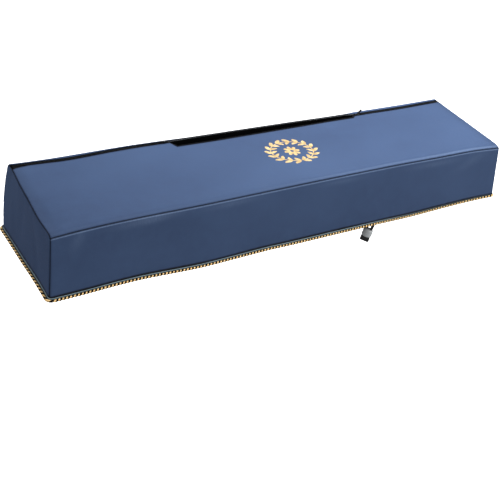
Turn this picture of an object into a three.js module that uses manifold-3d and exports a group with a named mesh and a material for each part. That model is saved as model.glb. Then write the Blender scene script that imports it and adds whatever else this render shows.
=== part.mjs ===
// Fitted cloth cover for a digital piano: a long box of five panels, open underneath, whose top slopes
// down to the front. A zip runs along the rear top edge and is undone over the middle, a corded trim goes
// round the hem, and the two ends of a drawcord hang in a lock below the front.
// Millimetres, +Z up, +X to the right seen from the front, -Y to the front. Heights count from the hem;
// the group is lowered at the end, so that the origin is under the middle of the top.
import * as THREE from "three";
import { RoundedBoxGeometry } from "three/addons/geometries/RoundedBoxGeometry.js";
import { mergeVertices } from "three/addons/utils/BufferGeometryUtils.js";
import Module from "manifold-3d";

const wasm = await Module();
wasm.setup();

// Size of the cover
const LENGTH = 1348;
const DEPTH = 315;
const REAR_HEIGHT = 174;
const FRONT_HEIGHT = 150;
const END_LEAN = 12;
const FRONT_LEAN = 14.5;
const REAR_EDGE = 148;

// Cloth and its sewing
const CLOTH = 1.5;
const HEM_CLOTH = 3;
const HEM_FOLD = 14;
const GAP = 0.3;

// Radii of the soft edges: each panel turns 45 degrees over its edge and ends at the seam there
const TURN = Math.PI / 4;
const FRONT_ROLL = 22;
const EDGE_ROLL = 6;
const HEM_ROLL = 8;
const REAR_ROLL = 7;

// Zip: what shows of each tape, what is sewn under the cloth, and the coil on the tapes' inner edges
const ZIP_HALF = 6;
const TAPE_SHOWS = 5.5;
const TAPE_UNDER = 6;
const TAPE = 1;
const COIL_WIDTH = 5;
const COIL_HEIGHT = 1.8;
const COIL_END = 648;

// Hem trim, set out from under the middle of the folded hem: a flat binding that flares outwards, and a rope
// along its foot
const BINDING_HEIGHT = 2.7;
const BINDING_THICK = 1.8;
const BINDING_OUT = 2;
const BINDING_FLARE = 1.4;
const ROPE = 6.2;
const ROPE_OUT = 6.7;
const ROPE_DROP = 5.1;
const ROPE_SIDES = 8;

// Height of the top along its front edge, before it rounds down to the seam, and along its rear edge
const FRONT_LINE = [
  { x: -660, height: 148 },
  { x: -600, height: 151.5 },
  { x: -500, height: 154.5 },
  { x: -300, height: 154.5 },
  { x: -100, height: 156.5 },
  { x: 110, height: 158 },
  { x: 300, height: 158 },
  { x: 430, height: 156.3 },
  { x: 570, height: 155 },
  { x: 660, height: 149 },
];
const REAR_LINE = [
  { x: -660, height: 173.5 },
  { x: -550, height: 173.6 },
  { x: -350, height: 175.8 },
  { x: -250, height: 174.6 },
  { x: 0, height: 173 },
  { x: 350, height: 171 },
  { x: 530, height: 171 },
  { x: 660, height: 172.5 },
];
// The rear wall's belly, and the slump of the left end's top seam below a straight line
const REAR_WALL = [
  { height: 0, y: 160 },
  { height: 65, y: 164.5 },
  { height: 115, y: 161.5 },
  { height: 145, y: 155 },
  { height: 168, y: REAR_EDGE },
];
const LEFT_SLUMP = [
  { y: -160, drop: 0.5 },
  { y: -136, drop: 1 },
  { y: -70, drop: 3.2 },
  { y: 0, drop: 1 },
  { y: 60, drop: -0.5 },
  { y: 120, drop: -3.5 },
  { y: 150, drop: -2 },
];
const SLUMP = { reach: 130, foot: 50, outwards: 0.8 };

// Waves of the front and rear hems: how far the edge rises and how far it stands out
const FRONT_HEM = [
  { x: -670, rise: -2.8, out: 0 },
  { x: -600, rise: -0.9, out: 0.7 },
  { x: -505, rise: 1.7, out: -0.5 },
  { x: -440, rise: 1.8, out: -0.5 },
  { x: -400, rise: 0.5, out: 0 },
  { x: -297, rise: -2.2, out: 1.6 },
  { x: -208, rise: -1.2, out: 0.7 },
  { x: -100, rise: 0.6, out: -0.2 },
  { x: -44, rise: 0.2, out: 0.2 },
  { x: 133, rise: 0.8, out: 0.2 },
  { x: 241, rise: 0.5, out: 0 },
  { x: 352, rise: -0.2, out: 0.8 },
  { x: 440, rise: 0.9, out: 0 },
  { x: 500, rise: 1.8, out: -0.3 },
  { x: 600, rise: 2, out: -0.5 },
  { x: 670, rise: 1, out: 0 },
];
const REAR_HEM = [
  { x: -670, rise: 1.5, out: 0 },
  { x: -480, rise: 3, out: 2 },
  { x: -250, rise: -2, out: -1 },
  { x: 20, rise: 2, out: 2 },
  { x: 290, rise: -2, out: 0 },
  { x: 500, rise: 2, out: 2 },
  { x: 670, rise: 1, out: 0 },
];
const LEFT_HEM = [
  { y: -155, rise: -2.8, out: 0 },
  { y: -140, rise: -0.5, out: 0 },
  { y: -110, rise: 1.5, out: 0 },
  { y: -65, rise: 2.6, out: 0 },
  { y: 0, rise: 1.4, out: 0 },
  { y: 60, rise: 2, out: 0 },
  { y: 110, rise: 2, out: 0 },
  { y: 160, rise: 1.5, out: 0 },
];
const RIGHT_HEM = [
  { y: -155, rise: 1, out: 0 },
  { y: -60, rise: -1.5, out: 2 },
  { y: 60, rise: 1, out: 0 },
  { y: 160, rise: 1, out: 0 },
];

// Middle of the zip where it is closed, left and right of the opening
const ZIP_LINE = [
  { x: -660, y: 131.5 },
  { x: -580, y: 131.5 },
  { x: -520, y: 128.5 },
  { x: -400, y: 132 },
  { x: -250, y: 133.5 },
  { x: 345, y: 126 },
  { x: 400, y: 127 },
  { x: 480, y: 126 },
  { x: 660, y: 129 },
];

// Cut edge of the top cloth along the opening, and its spread at the zip's left end
const OPENING_EDGE = [
  { x: -248, y: 127.5 },
  { x: -238, y: 105 },
  { x: -120, y: 104 },
  { x: 0, y: 106 },
  { x: 140, y: 108.5 },
  { x: 240, y: 111 },
  { x: 326, y: 111.5 },
  { x: 337, y: 120 },
];
const LEFT_SPREAD = [
  { x: -660, y: 117 },
  { x: -645, y: 122 },
  { x: -618, y: 125.5 },
];
// Edge of the rear cloth along the opening, and how far it has dropped below the line of the closed zip
const REAR_STRIP = [
  { x: -248, y: 139.5, drop: 0 },
  { x: -200, y: 142, drop: 1 },
  { x: -90, y: 144, drop: 1 },
  { x: 140, y: 143.5, drop: 1 },
  { x: 240, y: 143, drop: 1.8 },
  { x: 315, y: 141.5, drop: 1.8 },
  { x: 337, y: 136, drop: 1 },
  { x: 350, y: 132, drop: 0 },
];

// Sliders, with the angle that each pull stands up from the zip
const SLIDERS = [
  { name: "left", x: -253, towards: -1, lift: 7 },
  { name: "right", x: 350, towards: 1, lift: 47 },
];
const SLIDER = { length: 12, width: 8.6, plate: 2.4, bridgeLength: 7, bridgeWidth: 2, bridgeHeight: 3, bar: 1 };
const PULL = { length: 17, width: 6.4, thick: 1.2, pin: 1, arm: 1.6, window: 3.4 };

// Drawcord lock: it hangs below the front trim, turned on its cord, with its top leaning to the right
const LOCK = { x: 229.5, y: -143, height: -42, lean: 10, turn: -48 };
const BARREL = { width: 28, depth: 22, height: 24.5, edge: 6 };
const END_CLIP = { width: 25.5, depth: 14.5, height: 14, edge: 3, socket: 6.5 };
const CORD = 8.2;
const CORD_SIDES = 10;
const CORD_STEPS = 18;
const CORD_SPACING = 6.8;
const CORD_EASE = 15;
const CORD_EXITS = [
  { name: "left", side: -1, x: 216 },
  { name: "right", side: 1, x: 246 },
];

// Colours, by material
const material = (color, roughness, metalness = 0) =>
  new THREE.MeshStandardMaterial({ color, roughness, metalness });
const VELVET = material(0x3f5273, 0.85);
const ZIP_TAPE = material(0x17181c, 0.8);
const ZIP_COIL = material(0x1b1c1f, 0.5);
const SLIDER_METAL = material(0x26282c, 0.35, 0.6);
const BINDING = material(0x76898c, 0.55);
const ROPE_YARN = material(0xc49a58, 0.5);
const ELASTIC = material(0x101114, 0.85);
const LOCK_BODY = material(0x8f9494, 0.3);
const BLACK_PLASTIC = material(0x131416, 0.45);

const { lerp, clamp } = THREE.MathUtils;
const vector = (x, y, z) => new THREE.Vector3(x, y, z);
const cover = new THREE.Group();

function add(name, geometry, finish) {
  const mesh = new THREE.Mesh(geometry, finish);
  mesh.name = name;
  cover.add(mesh);
  return mesh;
}

// A smooth or straight curve through one column of a table
function follow(table, column, key = "x", Curve = THREE.CubicInterpolant) {
  const curve = new Curve(table.map((row) => row[key]), table.map((row) => row[column]), 1);
  return (at) => curve.evaluate(clamp(at, table[0][key], table.at(-1)[key]))[0];
}

// Soft edges: the width of the turned strip, its drop at the seam, and its drop at a distance from it
const rollWidth = (radius) => radius * Math.sin(TURN);
const rollDepth = (radius) => radius * (1 - Math.cos(TURN));
function edgeDrop(distance, radius) {
  const past = Math.max(0, rollWidth(radius) - distance);
  return radius - Math.sqrt(radius * radius - past * past);
}

// The leaning sides of the box, and the end seams just inside its corners
const endX = (z) => LENGTH / 2 - (END_LEAN * z) / REAR_HEIGHT;
const frontY = (z) => -DEPTH / 2 + (FRONT_LEAN * z) / FRONT_HEIGHT;
const cornerRoll = (z) => lerp(HEM_ROLL, EDGE_ROLL, clamp(z / FRONT_HEIGHT, 0, 1));
const seamX = (z) => endX(z) - rollDepth(cornerRoll(z));
const fromSeam = (x, z) => Math.max(0, seamX(z) - Math.abs(x));

// The sloping top, from the front seam to the start of the rear roll
const frontLine = follow(FRONT_LINE, "height");
const rearLine = follow(REAR_LINE, "height");
const rearSag = follow(REAR_STRIP, "drop", "x", THREE.LinearInterpolant);
const rearWall = follow(REAR_WALL, "y", "height");
const FRONT_SEAM = frontY(FRONT_HEIGHT) + rollDepth(EDGE_ROLL);
const ROLL_MIDDLE = REAR_EDGE - REAR_ROLL;
const slopeAt = (x) => (rearLine(x) - frontLine(x)) / (ROLL_MIDDLE - FRONT_SEAM);
const WALL_TOP = REAR_WALL.at(-1).height;
const flatTop = (x, y) => frontLine(x) + slopeAt(x) * (y - FRONT_SEAM);

function frontSeam(x) {
  const whole = flatTop(x, FRONT_SEAM) - rollDepth(FRONT_ROLL);
  const z = whole - edgeDrop(fromSeam(x, whole), EDGE_ROLL);
  const y = frontY(z) + rollDepth(EDGE_ROLL) + edgeDrop(fromSeam(x, z), cornerRoll(z));
  return { y, z };
}

function topPoint(x, y) {
  const flat = flatTop(x, y);
  const front = edgeDrop(y - frontSeam(x).y, FRONT_ROLL);
  return vector(x, y, flat - front - edgeDrop(fromSeam(x, flat - rollDepth(EDGE_ROLL)), EDGE_ROLL));
}

// The rear top edge as one curve down the section at x: reach is 0 where the roll starts, less on the
// flat top before it, and more on the roll and down the rear wall. It gives the point and the normal.
function rearCurve(x, reach, sag = rearSag(x)) {
  const slope = Math.atan(slopeAt(x));
  const startY = ROLL_MIDDLE - REAR_ROLL * Math.sin(slope);
  const middleZ = flatTop(x, startY) - REAR_ROLL * Math.cos(slope) - sag;
  const wallStart = REAR_ROLL * (Math.PI / 2 + slope);
  let place;
  let normal;
  if (reach <= 0) {
    const y = startY + reach * Math.cos(slope);
    place = vector(x, y, flatTop(x, y) - sag);
    normal = vector(0, -Math.sin(slope), Math.cos(slope));
  } else if (reach <= wallStart) {
    const turned = reach / REAR_ROLL - slope;
    normal = vector(0, Math.sin(turned), Math.cos(turned));
    place = vector(x, ROLL_MIDDLE, middleZ).addScaledVector(normal, REAR_ROLL);
  } else {
    const z = middleZ - (reach - wallStart);
    place = vector(x, rearWall(z * (WALL_TOP / middleZ)), z);
    normal = vector(0, 1, 0);
  }
  place.addScaledVector(normal, -edgeDrop(fromSeam(x, place.z), cornerRoll(place.z)));
  return { place, normal, wallStart, middleZ };
}

// The reach of a point that is seen at y from above
function reachAt(x, y) {
  const slope = Math.atan(slopeAt(x));
  const startY = ROLL_MIDDLE - REAR_ROLL * Math.sin(slope);
  if (y <= startY) return (y - startY) / Math.cos(slope);
  return REAR_ROLL * (slope + Math.asin((y - ROLL_MIDDLE) / REAR_ROLL));
}

// The slump of the left end's top edge moves everything near it
const slumpDrop = follow(LEFT_SLUMP, "drop", "y");
function slumped(point) {
  const near = clamp(1 - (endX(point.z) + point.x) / SLUMP.reach, 0, 1);
  const high = THREE.MathUtils.smoothstep(point.z, SLUMP.foot, FRONT_HEIGHT);
  const drop = slumpDrop(point.y) * near * near * high;
  return vector(point.x - SLUMP.outwards * drop, point.y, point.z - drop);
}

// Closed solids from their vertices and triangles, turned to face outwards
function solid(places, triangles) {
  const points = places.map(slumped);
  const corner = (k) => points[k];
  const volume = triangles.reduce(
    (sum, [a, b, c]) => sum + corner(a).dot(vector(0, 0, 0).crossVectors(corner(b), corner(c))),
    0,
  );
  const faces = volume > 0 ? triangles : triangles.map(([a, b, c]) => [a, c, b]);
  const geometry = new THREE.BufferGeometry().setFromPoints(points);
  geometry.setIndex(faces.flat());
  geometry.computeVertexNormals();
  return geometry;
}

// Two triangles for each cell of a strip between two rows of vertex numbers
function stitch(triangles, first, second, closed = false) {
  const cells = closed ? first.length : first.length - 1;
  for (let i = 0; i < cells; i += 1) {
    const next = (i + 1) % first.length;
    triangles.push([first[i], first[next], second[next]], [first[i], second[next], second[i]]);
  }
}

// A sheet of cloth: a grid of outer points with normals and thicknesses, closed by an inner face and rim
function sheet(grid) {
  const rows = grid.length;
  const columns = grid[0].length;
  const points = [];
  for (const row of grid) for (const { place } of row) points.push(place);
  for (const row of grid) {
    for (const { place, normal, thick } of row) points.push(place.clone().addScaledVector(normal, -thick));
  }
  const outer = grid.map((row, j) => row.map((_, i) => j * columns + i));
  const inner = outer.map((row) => row.map((k) => k + rows * columns));
  const triangles = [];
  for (let j = 0; j < rows - 1; j += 1) {
    stitch(triangles, outer[j], outer[j + 1]);
    stitch(triangles, inner[j + 1], inner[j]);
  }
  const rim = (face) => [
    ...face[0],
    ...face.slice(1).map((row) => row.at(-1)),
    ...face.at(-1).slice(0, -1).reverse(),
    ...face.slice(1, -1).map((row) => row[0]).reverse(),
  ];
  stitch(triangles, rim(inner), rim(outer), true);
  return solid(points, triangles);
}

// A band through rings of points, closed on itself or capped at both ends
function band(rings, closed = false) {
  const size = rings[0].length;
  const number = rings.map((ring, k) => ring.map((_, i) => k * size + i));
  const triangles = [];
  const last = closed ? rings.length : rings.length - 1;
  for (let k = 0; k < last; k += 1) stitch(triangles, number[k], number[(k + 1) % rings.length], true);
  if (!closed) {
    for (let i = 1; i < size - 1; i += 1) {
      triangles.push([number[0][0], number[0][i + 1], number[0][i]]);
      triangles.push([number.at(-1)[0], number.at(-1)[i], number.at(-1)[i + 1]]);
    }
  }
  return solid(rings.flat(), triangles);
}

// Fills in each grid point's normal and draws the sewn edges back from the seam by half a gap.
// fixed(j, i) gives the normal on a seam, and sewn(j, i) the steps from there into the panel.
function finishGrid(places, thickness, fixed, sewn) {
  const at = (j, i) => places[clamp(j, 0, places.length - 1)][clamp(i, 0, places[0].length - 1)];
  const middle = vector(0, 0, REAR_HEIGHT / 2);
  return places.map((row, j) =>
    row.map((place, i) => {
      const across = at(j, i + 1).clone().sub(at(j, i - 1));
      const up = at(j + 1, i).clone().sub(at(j - 1, i));
      const normal = fixed(j, i) ?? across.cross(up).normalize();
      if (normal.dot(place.clone().sub(middle)) < 0) normal.negate();
      const moved = place.clone();
      for (const [dj, di] of sewn(j, i)) {
        const inwards = at(j + dj, i + di).clone().sub(place).normalize();
        moved.addScaledVector(inwards, GAP / 2);
      }
      return { place: moved, normal, thick: thickness(j, i) };
    }),
  );
}

// Columns shared by the three long panels: shares of the turned strip at each end, and places between
const STRIP_SHARES = [0, 0.22, 0.55, 1];
const EVEN_STEPS = 24;
const LAST_COLUMN = 636;
const NEAR_COLUMN = 14;
const cutPlaces = [
  ...new Set([...OPENING_EDGE, ...LEFT_SPREAD.slice(1), ...REAR_STRIP].map((row) => row.x)),
];
const evenPlaces = Array.from({ length: EVEN_STEPS + 1 }, (_, k) =>
  lerp(-LAST_COLUMN, LAST_COLUMN, k / EVEN_STEPS),
).filter((x) => cutPlaces.every((cut) => Math.abs(x - cut) > NEAR_COLUMN));
const innerPlaces = [...evenPlaces, ...cutPlaces].sort((a, b) => a - b);
const columns = [
  ...STRIP_SHARES.map((share) => ({ side: -1, share })),
  ...innerPlaces.map((x) => ({ x })),
  ...STRIP_SHARES.map((share) => ({ side: 1, share })).reverse(),
];
const columnX = ({ side, share, x }, z) => x ?? side * (seamX(z) - share * rollWidth(cornerRoll(z)));
const lastColumn = columns.length - 1;
const endSide = (i) => (i === 0 ? -1 : i === lastColumn ? 1 : 0);
const intoPanel = (i) => (i === 0 ? [[0, 1]] : i === lastColumn ? [[0, -1]] : []);

// The normal on an end seam lies between the long panel's own and the end's
const seamNormal = (normal, side) => normal.clone().add(vector(side, 0, 0)).normalize();

// Grid points next to a corner take the corner's own normal, so that the inner face doesn't fold there
const CORNER_CELLS = 2;
const snap = (k, last) => (k <= CORNER_CELLS ? 0 : k >= last - CORNER_CELLS ? last : k);

// Hem edges and the way that their waves fade up the panel
const frontRise = follow(FRONT_HEM, "rise");
const frontOut = follow(FRONT_HEM, "out");
const rearRise = follow(REAR_HEM, "rise");
const rearOut = follow(REAR_HEM, "out");
const fade = (share) => (1 - share) ** 2;

// Front panel, from the hem up to the front seam
const wallRows = [
  { hem: 0 },
  { hem: HEM_FOLD - GAP },
  { hem: HEM_FOLD },
  { share: 0.4 },
  { share: 0.7 },
  { seam: 1 },
  { seam: 0.55 },
  { seam: 0.22 },
  { seam: 0 },
];
function rowHeight(row, hem, seam) {
  if (row.hem !== undefined) return hem + row.hem;
  if (row.share !== undefined) return lerp(hem, seam, row.share);
  return seam - row.seam * rollWidth(EDGE_ROLL);
}
const thickAt = (row) => (row.hem !== undefined && row.hem < HEM_FOLD ? HEM_CLOTH : CLOTH);

function frontPoint(column, row) {
  const guess = columnX(column, row.hem === undefined ? FRONT_HEIGHT : 0);
  const seam = frontSeam(guess).z;
  const hem = frontRise(guess);
  const z = rowHeight(row, hem, seam);
  const x = columnX(column, z);
  const inset = edgeDrop(seam - z, EDGE_ROLL) + edgeDrop(fromSeam(x, z), cornerRoll(z));
  return vector(x, frontY(z) + inset - frontOut(x) * fade(z / seam), z);
}
const AT_SEAM = wallRows.at(-1);
const FRONT_NORMAL = vector(0, -1, 0);
const FRONT_SEAM_NORMAL = vector(0, -1, 1).normalize();
const frontPlaces = wallRows.map((row) => columns.map((column) => frontPoint(column, row)));
const frontNormal = (j) => (j === wallRows.length - 1 ? FRONT_SEAM_NORMAL : FRONT_NORMAL);
const frontGrid = finishGrid(
  frontPlaces,
  (j) => thickAt(wallRows[j]),
  (j, i) => {
    if (endSide(i)) return seamNormal(frontNormal(j), endSide(i));
    return j === wallRows.length - 1 ? FRONT_SEAM_NORMAL.clone() : undefined;
  },
  (j, i) => [...intoPanel(i), ...(j === wallRows.length - 1 ? [[-1, 0]] : [])],
);
add("front_panel", sheet(frontGrid), VELVET);

// Top panel, from the front seam back to the zip and round the opening's cut edge
const zipLine = follow(ZIP_LINE, "y");
const leftSpread = follow(LEFT_SPREAD, "y", "x", THREE.LinearInterpolant);
const openingEdge = follow(OPENING_EDGE, "y", "x", THREE.LinearInterpolant);
const isOpen = (x) => x >= OPENING_EDGE[0].x && x <= OPENING_EDGE.at(-1).x;
function topEdge(x) {
  if (isOpen(x)) return openingEdge(x);
  const closed = zipLine(x) - ZIP_HALF;
  return x < LEFT_SPREAD.at(-1).x ? Math.min(closed, leftSpread(x)) : closed;
}
const topRows = [
  { roll: 0 },
  { roll: 0.15 },
  { roll: 0.35 },
  { roll: 0.65 },
  { roll: 1 },
  { share: 0.12 },
  { share: 0.25 },
  { share: 0.37 },
  { share: 0.49 },
  { share: 0.61 },
  { share: 0.74 },
  { share: 0.87 },
  { share: 1 },
];
function topPlace(column, row) {
  if (row.roll === 0) return frontPoint(column, AT_SEAM);
  const guess = columnX(column, FRONT_HEIGHT);
  const from = frontSeam(guess).y;
  const rolled = from + rollWidth(FRONT_ROLL);
  const y = row.roll === undefined ? lerp(rolled, topEdge(guess), row.share) : lerp(from, rolled, row.roll);
  const x = columnX(column, flatTop(guess, y) - rollDepth(EDGE_ROLL));
  return topPoint(x, y);
}
const topPlaces = topRows.map((row) => columns.map((column) => topPlace(column, row)));
function topNormal(j) {
  const row = topRows[j];
  const past = row.roll === undefined ? 0 : (1 - row.roll) * rollWidth(FRONT_ROLL);
  const turned = Math.asin(past / FRONT_ROLL);
  return vector(0, -Math.sin(turned), Math.cos(turned));
}
const topGrid = finishGrid(
  topPlaces,
  () => CLOTH,
  (j, i) => {
    const near = endSide(snap(i, lastColumn));
    if (near && j <= CORNER_CELLS) return seamNormal(topNormal(0), near);
    if (endSide(i)) return seamNormal(topNormal(j), endSide(i));
    return j === 0 ? FRONT_SEAM_NORMAL.clone() : undefined;
  },
  (j, i) => [...intoPanel(i), ...(j === 0 ? [[1, 0]] : [])],
);
add("top_panel", sheet(topGrid), VELVET);

// Back panel, from the hem up the rear wall and over the rear top edge to the zip
const rearStrip = follow(REAR_STRIP, "y", "x", THREE.LinearInterpolant);
const isParted = (x) => x >= REAR_STRIP[0].x && x <= REAR_STRIP.at(-1).x;
const backEdge = (x) => (isParted(x) ? rearStrip(x) : zipLine(x) + ZIP_HALF);
const backRows = [
  { hem: 0 },
  { hem: HEM_FOLD - GAP },
  { hem: HEM_FOLD },
  { share: 0.2 },
  { share: 0.35 },
  { share: 0.5 },
  { share: 0.65 },
  { share: 0.77 },
  { share: 0.89 },
  { over: 0 },
  { over: 0.2 },
  { over: 0.4 },
  { over: 0.6 },
  { over: 0.8 },
  { over: 1 },
];
function backPlace(column, row) {
  const guess = columnX(column, row.over === undefined ? 0 : REAR_HEIGHT);
  const { wallStart, middleZ } = rearCurve(guess, 0);
  if (row.over !== undefined) {
    const reach = lerp(wallStart, reachAt(guess, backEdge(guess)), row.over);
    const x = columnX(column, rearCurve(guess, reach).place.z);
    return rearCurve(x, reach);
  }
  const z = rowHeight(row, rearRise(guess), middleZ);
  const x = columnX(column, z);
  const { place, normal } = rearCurve(x, wallStart + middleZ - z);
  place.y += rearOut(x) * fade(z / middleZ);
  return { place, normal };
}
const backCells = backRows.map((row) => columns.map((column) => backPlace(column, row)));
const backGrid = finishGrid(
  backCells.map((row) => row.map(({ place }) => place)),
  (j) => thickAt(backRows[j]),
  (j, i) => (endSide(i) ? seamNormal(backCells[j][i].normal, endSide(i)) : undefined),
  (j, i) => intoPanel(i),
);
add("back_panel", sheet(backGrid), VELVET);

// End panels: patches between the front, top and rear seams and the hem, bulging out to the box's ends
const END_COLUMNS = 10;
const END_ROWS = 8;
const SEAM_STEPS = 60;

// Points at equal distances along a seam, with the section's own normal at each
function along(points) {
  const lengths = [0];
  for (let k = 1; k < points.length; k += 1) {
    lengths.push(lengths[k - 1] + points[k].place.distanceTo(points[k - 1].place));
  }
  const total = lengths.at(-1);
  return {
    total,
    at(share) {
      const want = share * total;
      const k = clamp(lengths.findIndex((length) => length >= want), 1, points.length - 1);
      const t = (want - lengths[k - 1]) / (lengths[k] - lengths[k - 1]);
      return {
        place: points[k - 1].place.clone().lerp(points[k].place, t),
        normal: points[k - 1].normal.clone().lerp(points[k].normal, t).normalize(),
      };
    },
  };
}

function endSeams(side) {
  const column = { side, share: 0 };
  const shares = Array.from({ length: SEAM_STEPS + 1 }, (_, k) => k / SEAM_STEPS);
  const front = shares.map((share) => {
    const seam = frontSeam(columnX(column, FRONT_HEIGHT)).z;
    const row = { hem: share * (seam - frontRise(side * seamX(0))) };
    const place = frontPoint(column, row);
    const turned = Math.asin(clamp(rollWidth(EDGE_ROLL) - (seam - place.z), 0, EDGE_ROLL) / EDGE_ROLL);
    return { place, normal: vector(0, -Math.cos(turned), Math.sin(turned)) };
  });
  const edgeX = side * seamX(REAR_HEIGHT);
  const { wallStart, middleZ } = rearCurve(edgeX, 0);
  const halfRoll = wallStart / 2;
  const flatStart = -(ROLL_MIDDLE - FRONT_SEAM - rollWidth(FRONT_ROLL));
  const rollPart = [1, 0.8, 0.6, 0.4, 0.2, 0].map((share) => {
    const y = FRONT_SEAM + (1 - share) * rollWidth(FRONT_ROLL);
    const x = columnX(column, flatTop(edgeX, y) - rollDepth(EDGE_ROLL));
    const turned = Math.asin((share * rollWidth(FRONT_ROLL)) / FRONT_ROLL);
    const place = share === 1 ? frontPoint(column, AT_SEAM) : topPoint(x, y);
    return { place, normal: vector(0, -Math.sin(turned), Math.cos(turned)) };
  });
  const backPart = shares.slice(1).map((share) => {
    const reach = lerp(flatStart, halfRoll, share);
    const x = columnX(column, rearCurve(edgeX, reach).place.z);
    return rearCurve(x, reach);
  });
  const rear = shares.map((share) => {
    const down = (1 - share) * (halfRoll + middleZ - rearRise(side * seamX(0)));
    const x = columnX(column, rearCurve(edgeX, halfRoll + down).place.z);
    return rearCurve(x, halfRoll + down);
  });
  return { front: along(front), top: along([...rollPart, ...backPart]), rear: along(rear) };
}

function endPanel(name, side, table) {
  const { front, top, rear } = endSeams(side);
  const rise = follow(table, "rise", "y");
  const out = follow(table, "out", "y");
  const strip = rollWidth(HEM_ROLL) / DEPTH;
  const across = [
    ...STRIP_SHARES.map((share) => share * strip),
    ...Array.from({ length: END_COLUMNS - 1 }, (_, k) => lerp(strip, 1 - strip, (k + 1) / END_COLUMNS)),
    ...STRIP_SHARES.map((share) => 1 - share * strip).reverse(),
  ];
  const topStrip = rollWidth(EDGE_ROLL) / FRONT_HEIGHT;
  const fold = HEM_FOLD / FRONT_HEIGHT;
  const upwards = [
    0,
    fold * (1 - GAP / HEM_FOLD),
    fold,
    ...Array.from({ length: END_ROWS - 1 }, (_, k) => lerp(fold, 1 - topStrip, (k + 1) / END_ROWS)),
    ...STRIP_SHARES.map((share) => 1 - share * topStrip).reverse(),
  ];
  const hemStart = front.at(0).place;
  const hemEnd = rear.at(0).place;
  const hemPoint = (share) => {
    const place = hemStart.clone().lerp(hemEnd, share);
    const ends = lerp(rise(hemStart.y), rise(hemEnd.y), share);
    place.z += rise(place.y) - ends;
    return place;
  };
  const swell = (distance, radius) => 1 - edgeDrop(distance, radius) / rollDepth(radius);
  const places = upwards.map((v) => {
    const left = front.at(v).place;
    const right = rear.at(v).place;
    return across.map((u) => {
      const place = hemPoint(u).multiplyScalar(1 - v).addScaledVector(top.at(u).place, v);
      place.addScaledVector(left, 1 - u).addScaledVector(right, u);
      place.addScaledVector(hemStart, -(1 - u) * (1 - v)).addScaledVector(hemEnd, -u * (1 - v));
      place.addScaledVector(top.at(0).place, -(1 - u) * v).addScaledVector(top.at(1).place, -u * v);
      const radius = cornerRoll(place.z);
      const edges = swell(u * DEPTH, radius) * swell((1 - u) * DEPTH, radius);
      const below = swell((1 - v) * FRONT_HEIGHT, EDGE_ROLL);
      place.x += side * (rollDepth(radius) * edges * below + out(place.y) * fade(v) * edges);
      return place;
    });
  });
  const lastRow = upwards.length - 1;
  const lastAcross = across.length - 1;
  const grid = finishGrid(
    places,
    (j) => (upwards[j] < fold ? HEM_CLOTH : CLOTH),
    (j, i) => {
      const [row, column] = [snap(j, lastRow), snap(i, lastAcross)];
      const atCorner = row === lastRow && (column === 0 || column === lastAcross);
      const v = upwards[atCorner ? row : j];
      const edge = atCorner ? column : i;
      if (edge === 0) return seamNormal(front.at(v).normal, side);
      if (edge === lastAcross) return seamNormal(rear.at(v).normal, side);
      return j === lastRow ? seamNormal(top.at(across[i]).normal, side) : undefined;
    },
    (j, i) => [
      ...(i === 0 ? [[0, 1]] : []),
      ...(i === lastAcross ? [[0, -1]] : []),
      ...(j === lastRow ? [[-1, 0]] : []),
    ],
  );
  add(name, sheet(grid), VELVET);
  return grid;
}
const rightGrid = endPanel("right_end_panel", 1, RIGHT_HEM);
const leftGrid = endPanel("left_end_panel", -1, LEFT_HEM);

// Hem trim: a closed loop under the middle of the folded hem, all the way round
const MERGE = 2;
const hemLoop = [];
for (const row of [frontGrid[0], rightGrid[0], [...backGrid[0]].reverse(), [...leftGrid[0]].reverse()]) {
  for (const { place, normal } of row) {
    const outwards = normal.clone().setZ(0).normalize();
    const middle = place.clone().addScaledVector(outwards, -HEM_CLOTH / 2);
    if (hemLoop.every((other) => other.middle.distanceTo(middle) > MERGE)) hemLoop.push({ middle, outwards });
  }
}
const trimRing = (section) =>
  hemLoop.map(({ middle, outwards }) =>
    section.map(([out, up]) => middle.clone().addScaledVector(outwards, out).add(vector(0, 0, up))),
  );
const bindingTop = -GAP;
const bindingFoot = bindingTop - BINDING_HEIGHT;
const footOut = BINDING_OUT + BINDING_FLARE;
const bindingSection = [
  [footOut - BINDING_THICK / 2, bindingFoot],
  [footOut + BINDING_THICK / 2, bindingFoot],
  [BINDING_OUT + BINDING_THICK / 2, bindingTop],
  [BINDING_OUT - BINDING_THICK / 2, bindingTop],
];
add("hem_binding", band(trimRing(bindingSection), true), BINDING);

const ropeSection = Array.from({ length: ROPE_SIDES }, (_, k) => {
  const angle = ((k + 0.5) * 2 * Math.PI) / ROPE_SIDES;
  return [ROPE_OUT + (ROPE / 2) * Math.cos(angle), (ROPE / 2) * Math.sin(angle) - ROPE_DROP];
});
add("hem_rope", band(trimRing(ropeSection), true), ROPE_YARN);

// Zip tapes: each runs under its cloth's edge and shows as far as the middle of the zip, or as far as its
// own width where the zip is undone
const TAPE_END = 4;
const tapeTop = -(CLOTH + GAP);
const tapeReach = seamX(REAR_HEIGHT) - TAPE_END;
const stations = [-tapeReach, ...innerPlaces, tapeReach];

// Sideways steps at each point of a cut edge that keep a strip's width round its corners
function sideways(path) {
  const turn = (a, b) => new THREE.Vector2(-(b.y - a.y), b.x - a.x).normalize();
  return path.map((point, k) => {
    const before = turn(path[Math.max(0, k - 1)], path[Math.max(1, k)]);
    const after = turn(path[Math.min(k, path.length - 2)], path[Math.min(k + 1, path.length - 1)]);
    const middle = before.clone().add(after).normalize();
    return middle.divideScalar(Math.max(0.5, middle.dot(after)));
  });
}

const onSurface = (x, reach, lift, sag) => {
  const { place, normal } = rearCurve(x, reach, sag);
  return place.addScaledVector(normal, lift);
};

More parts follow.
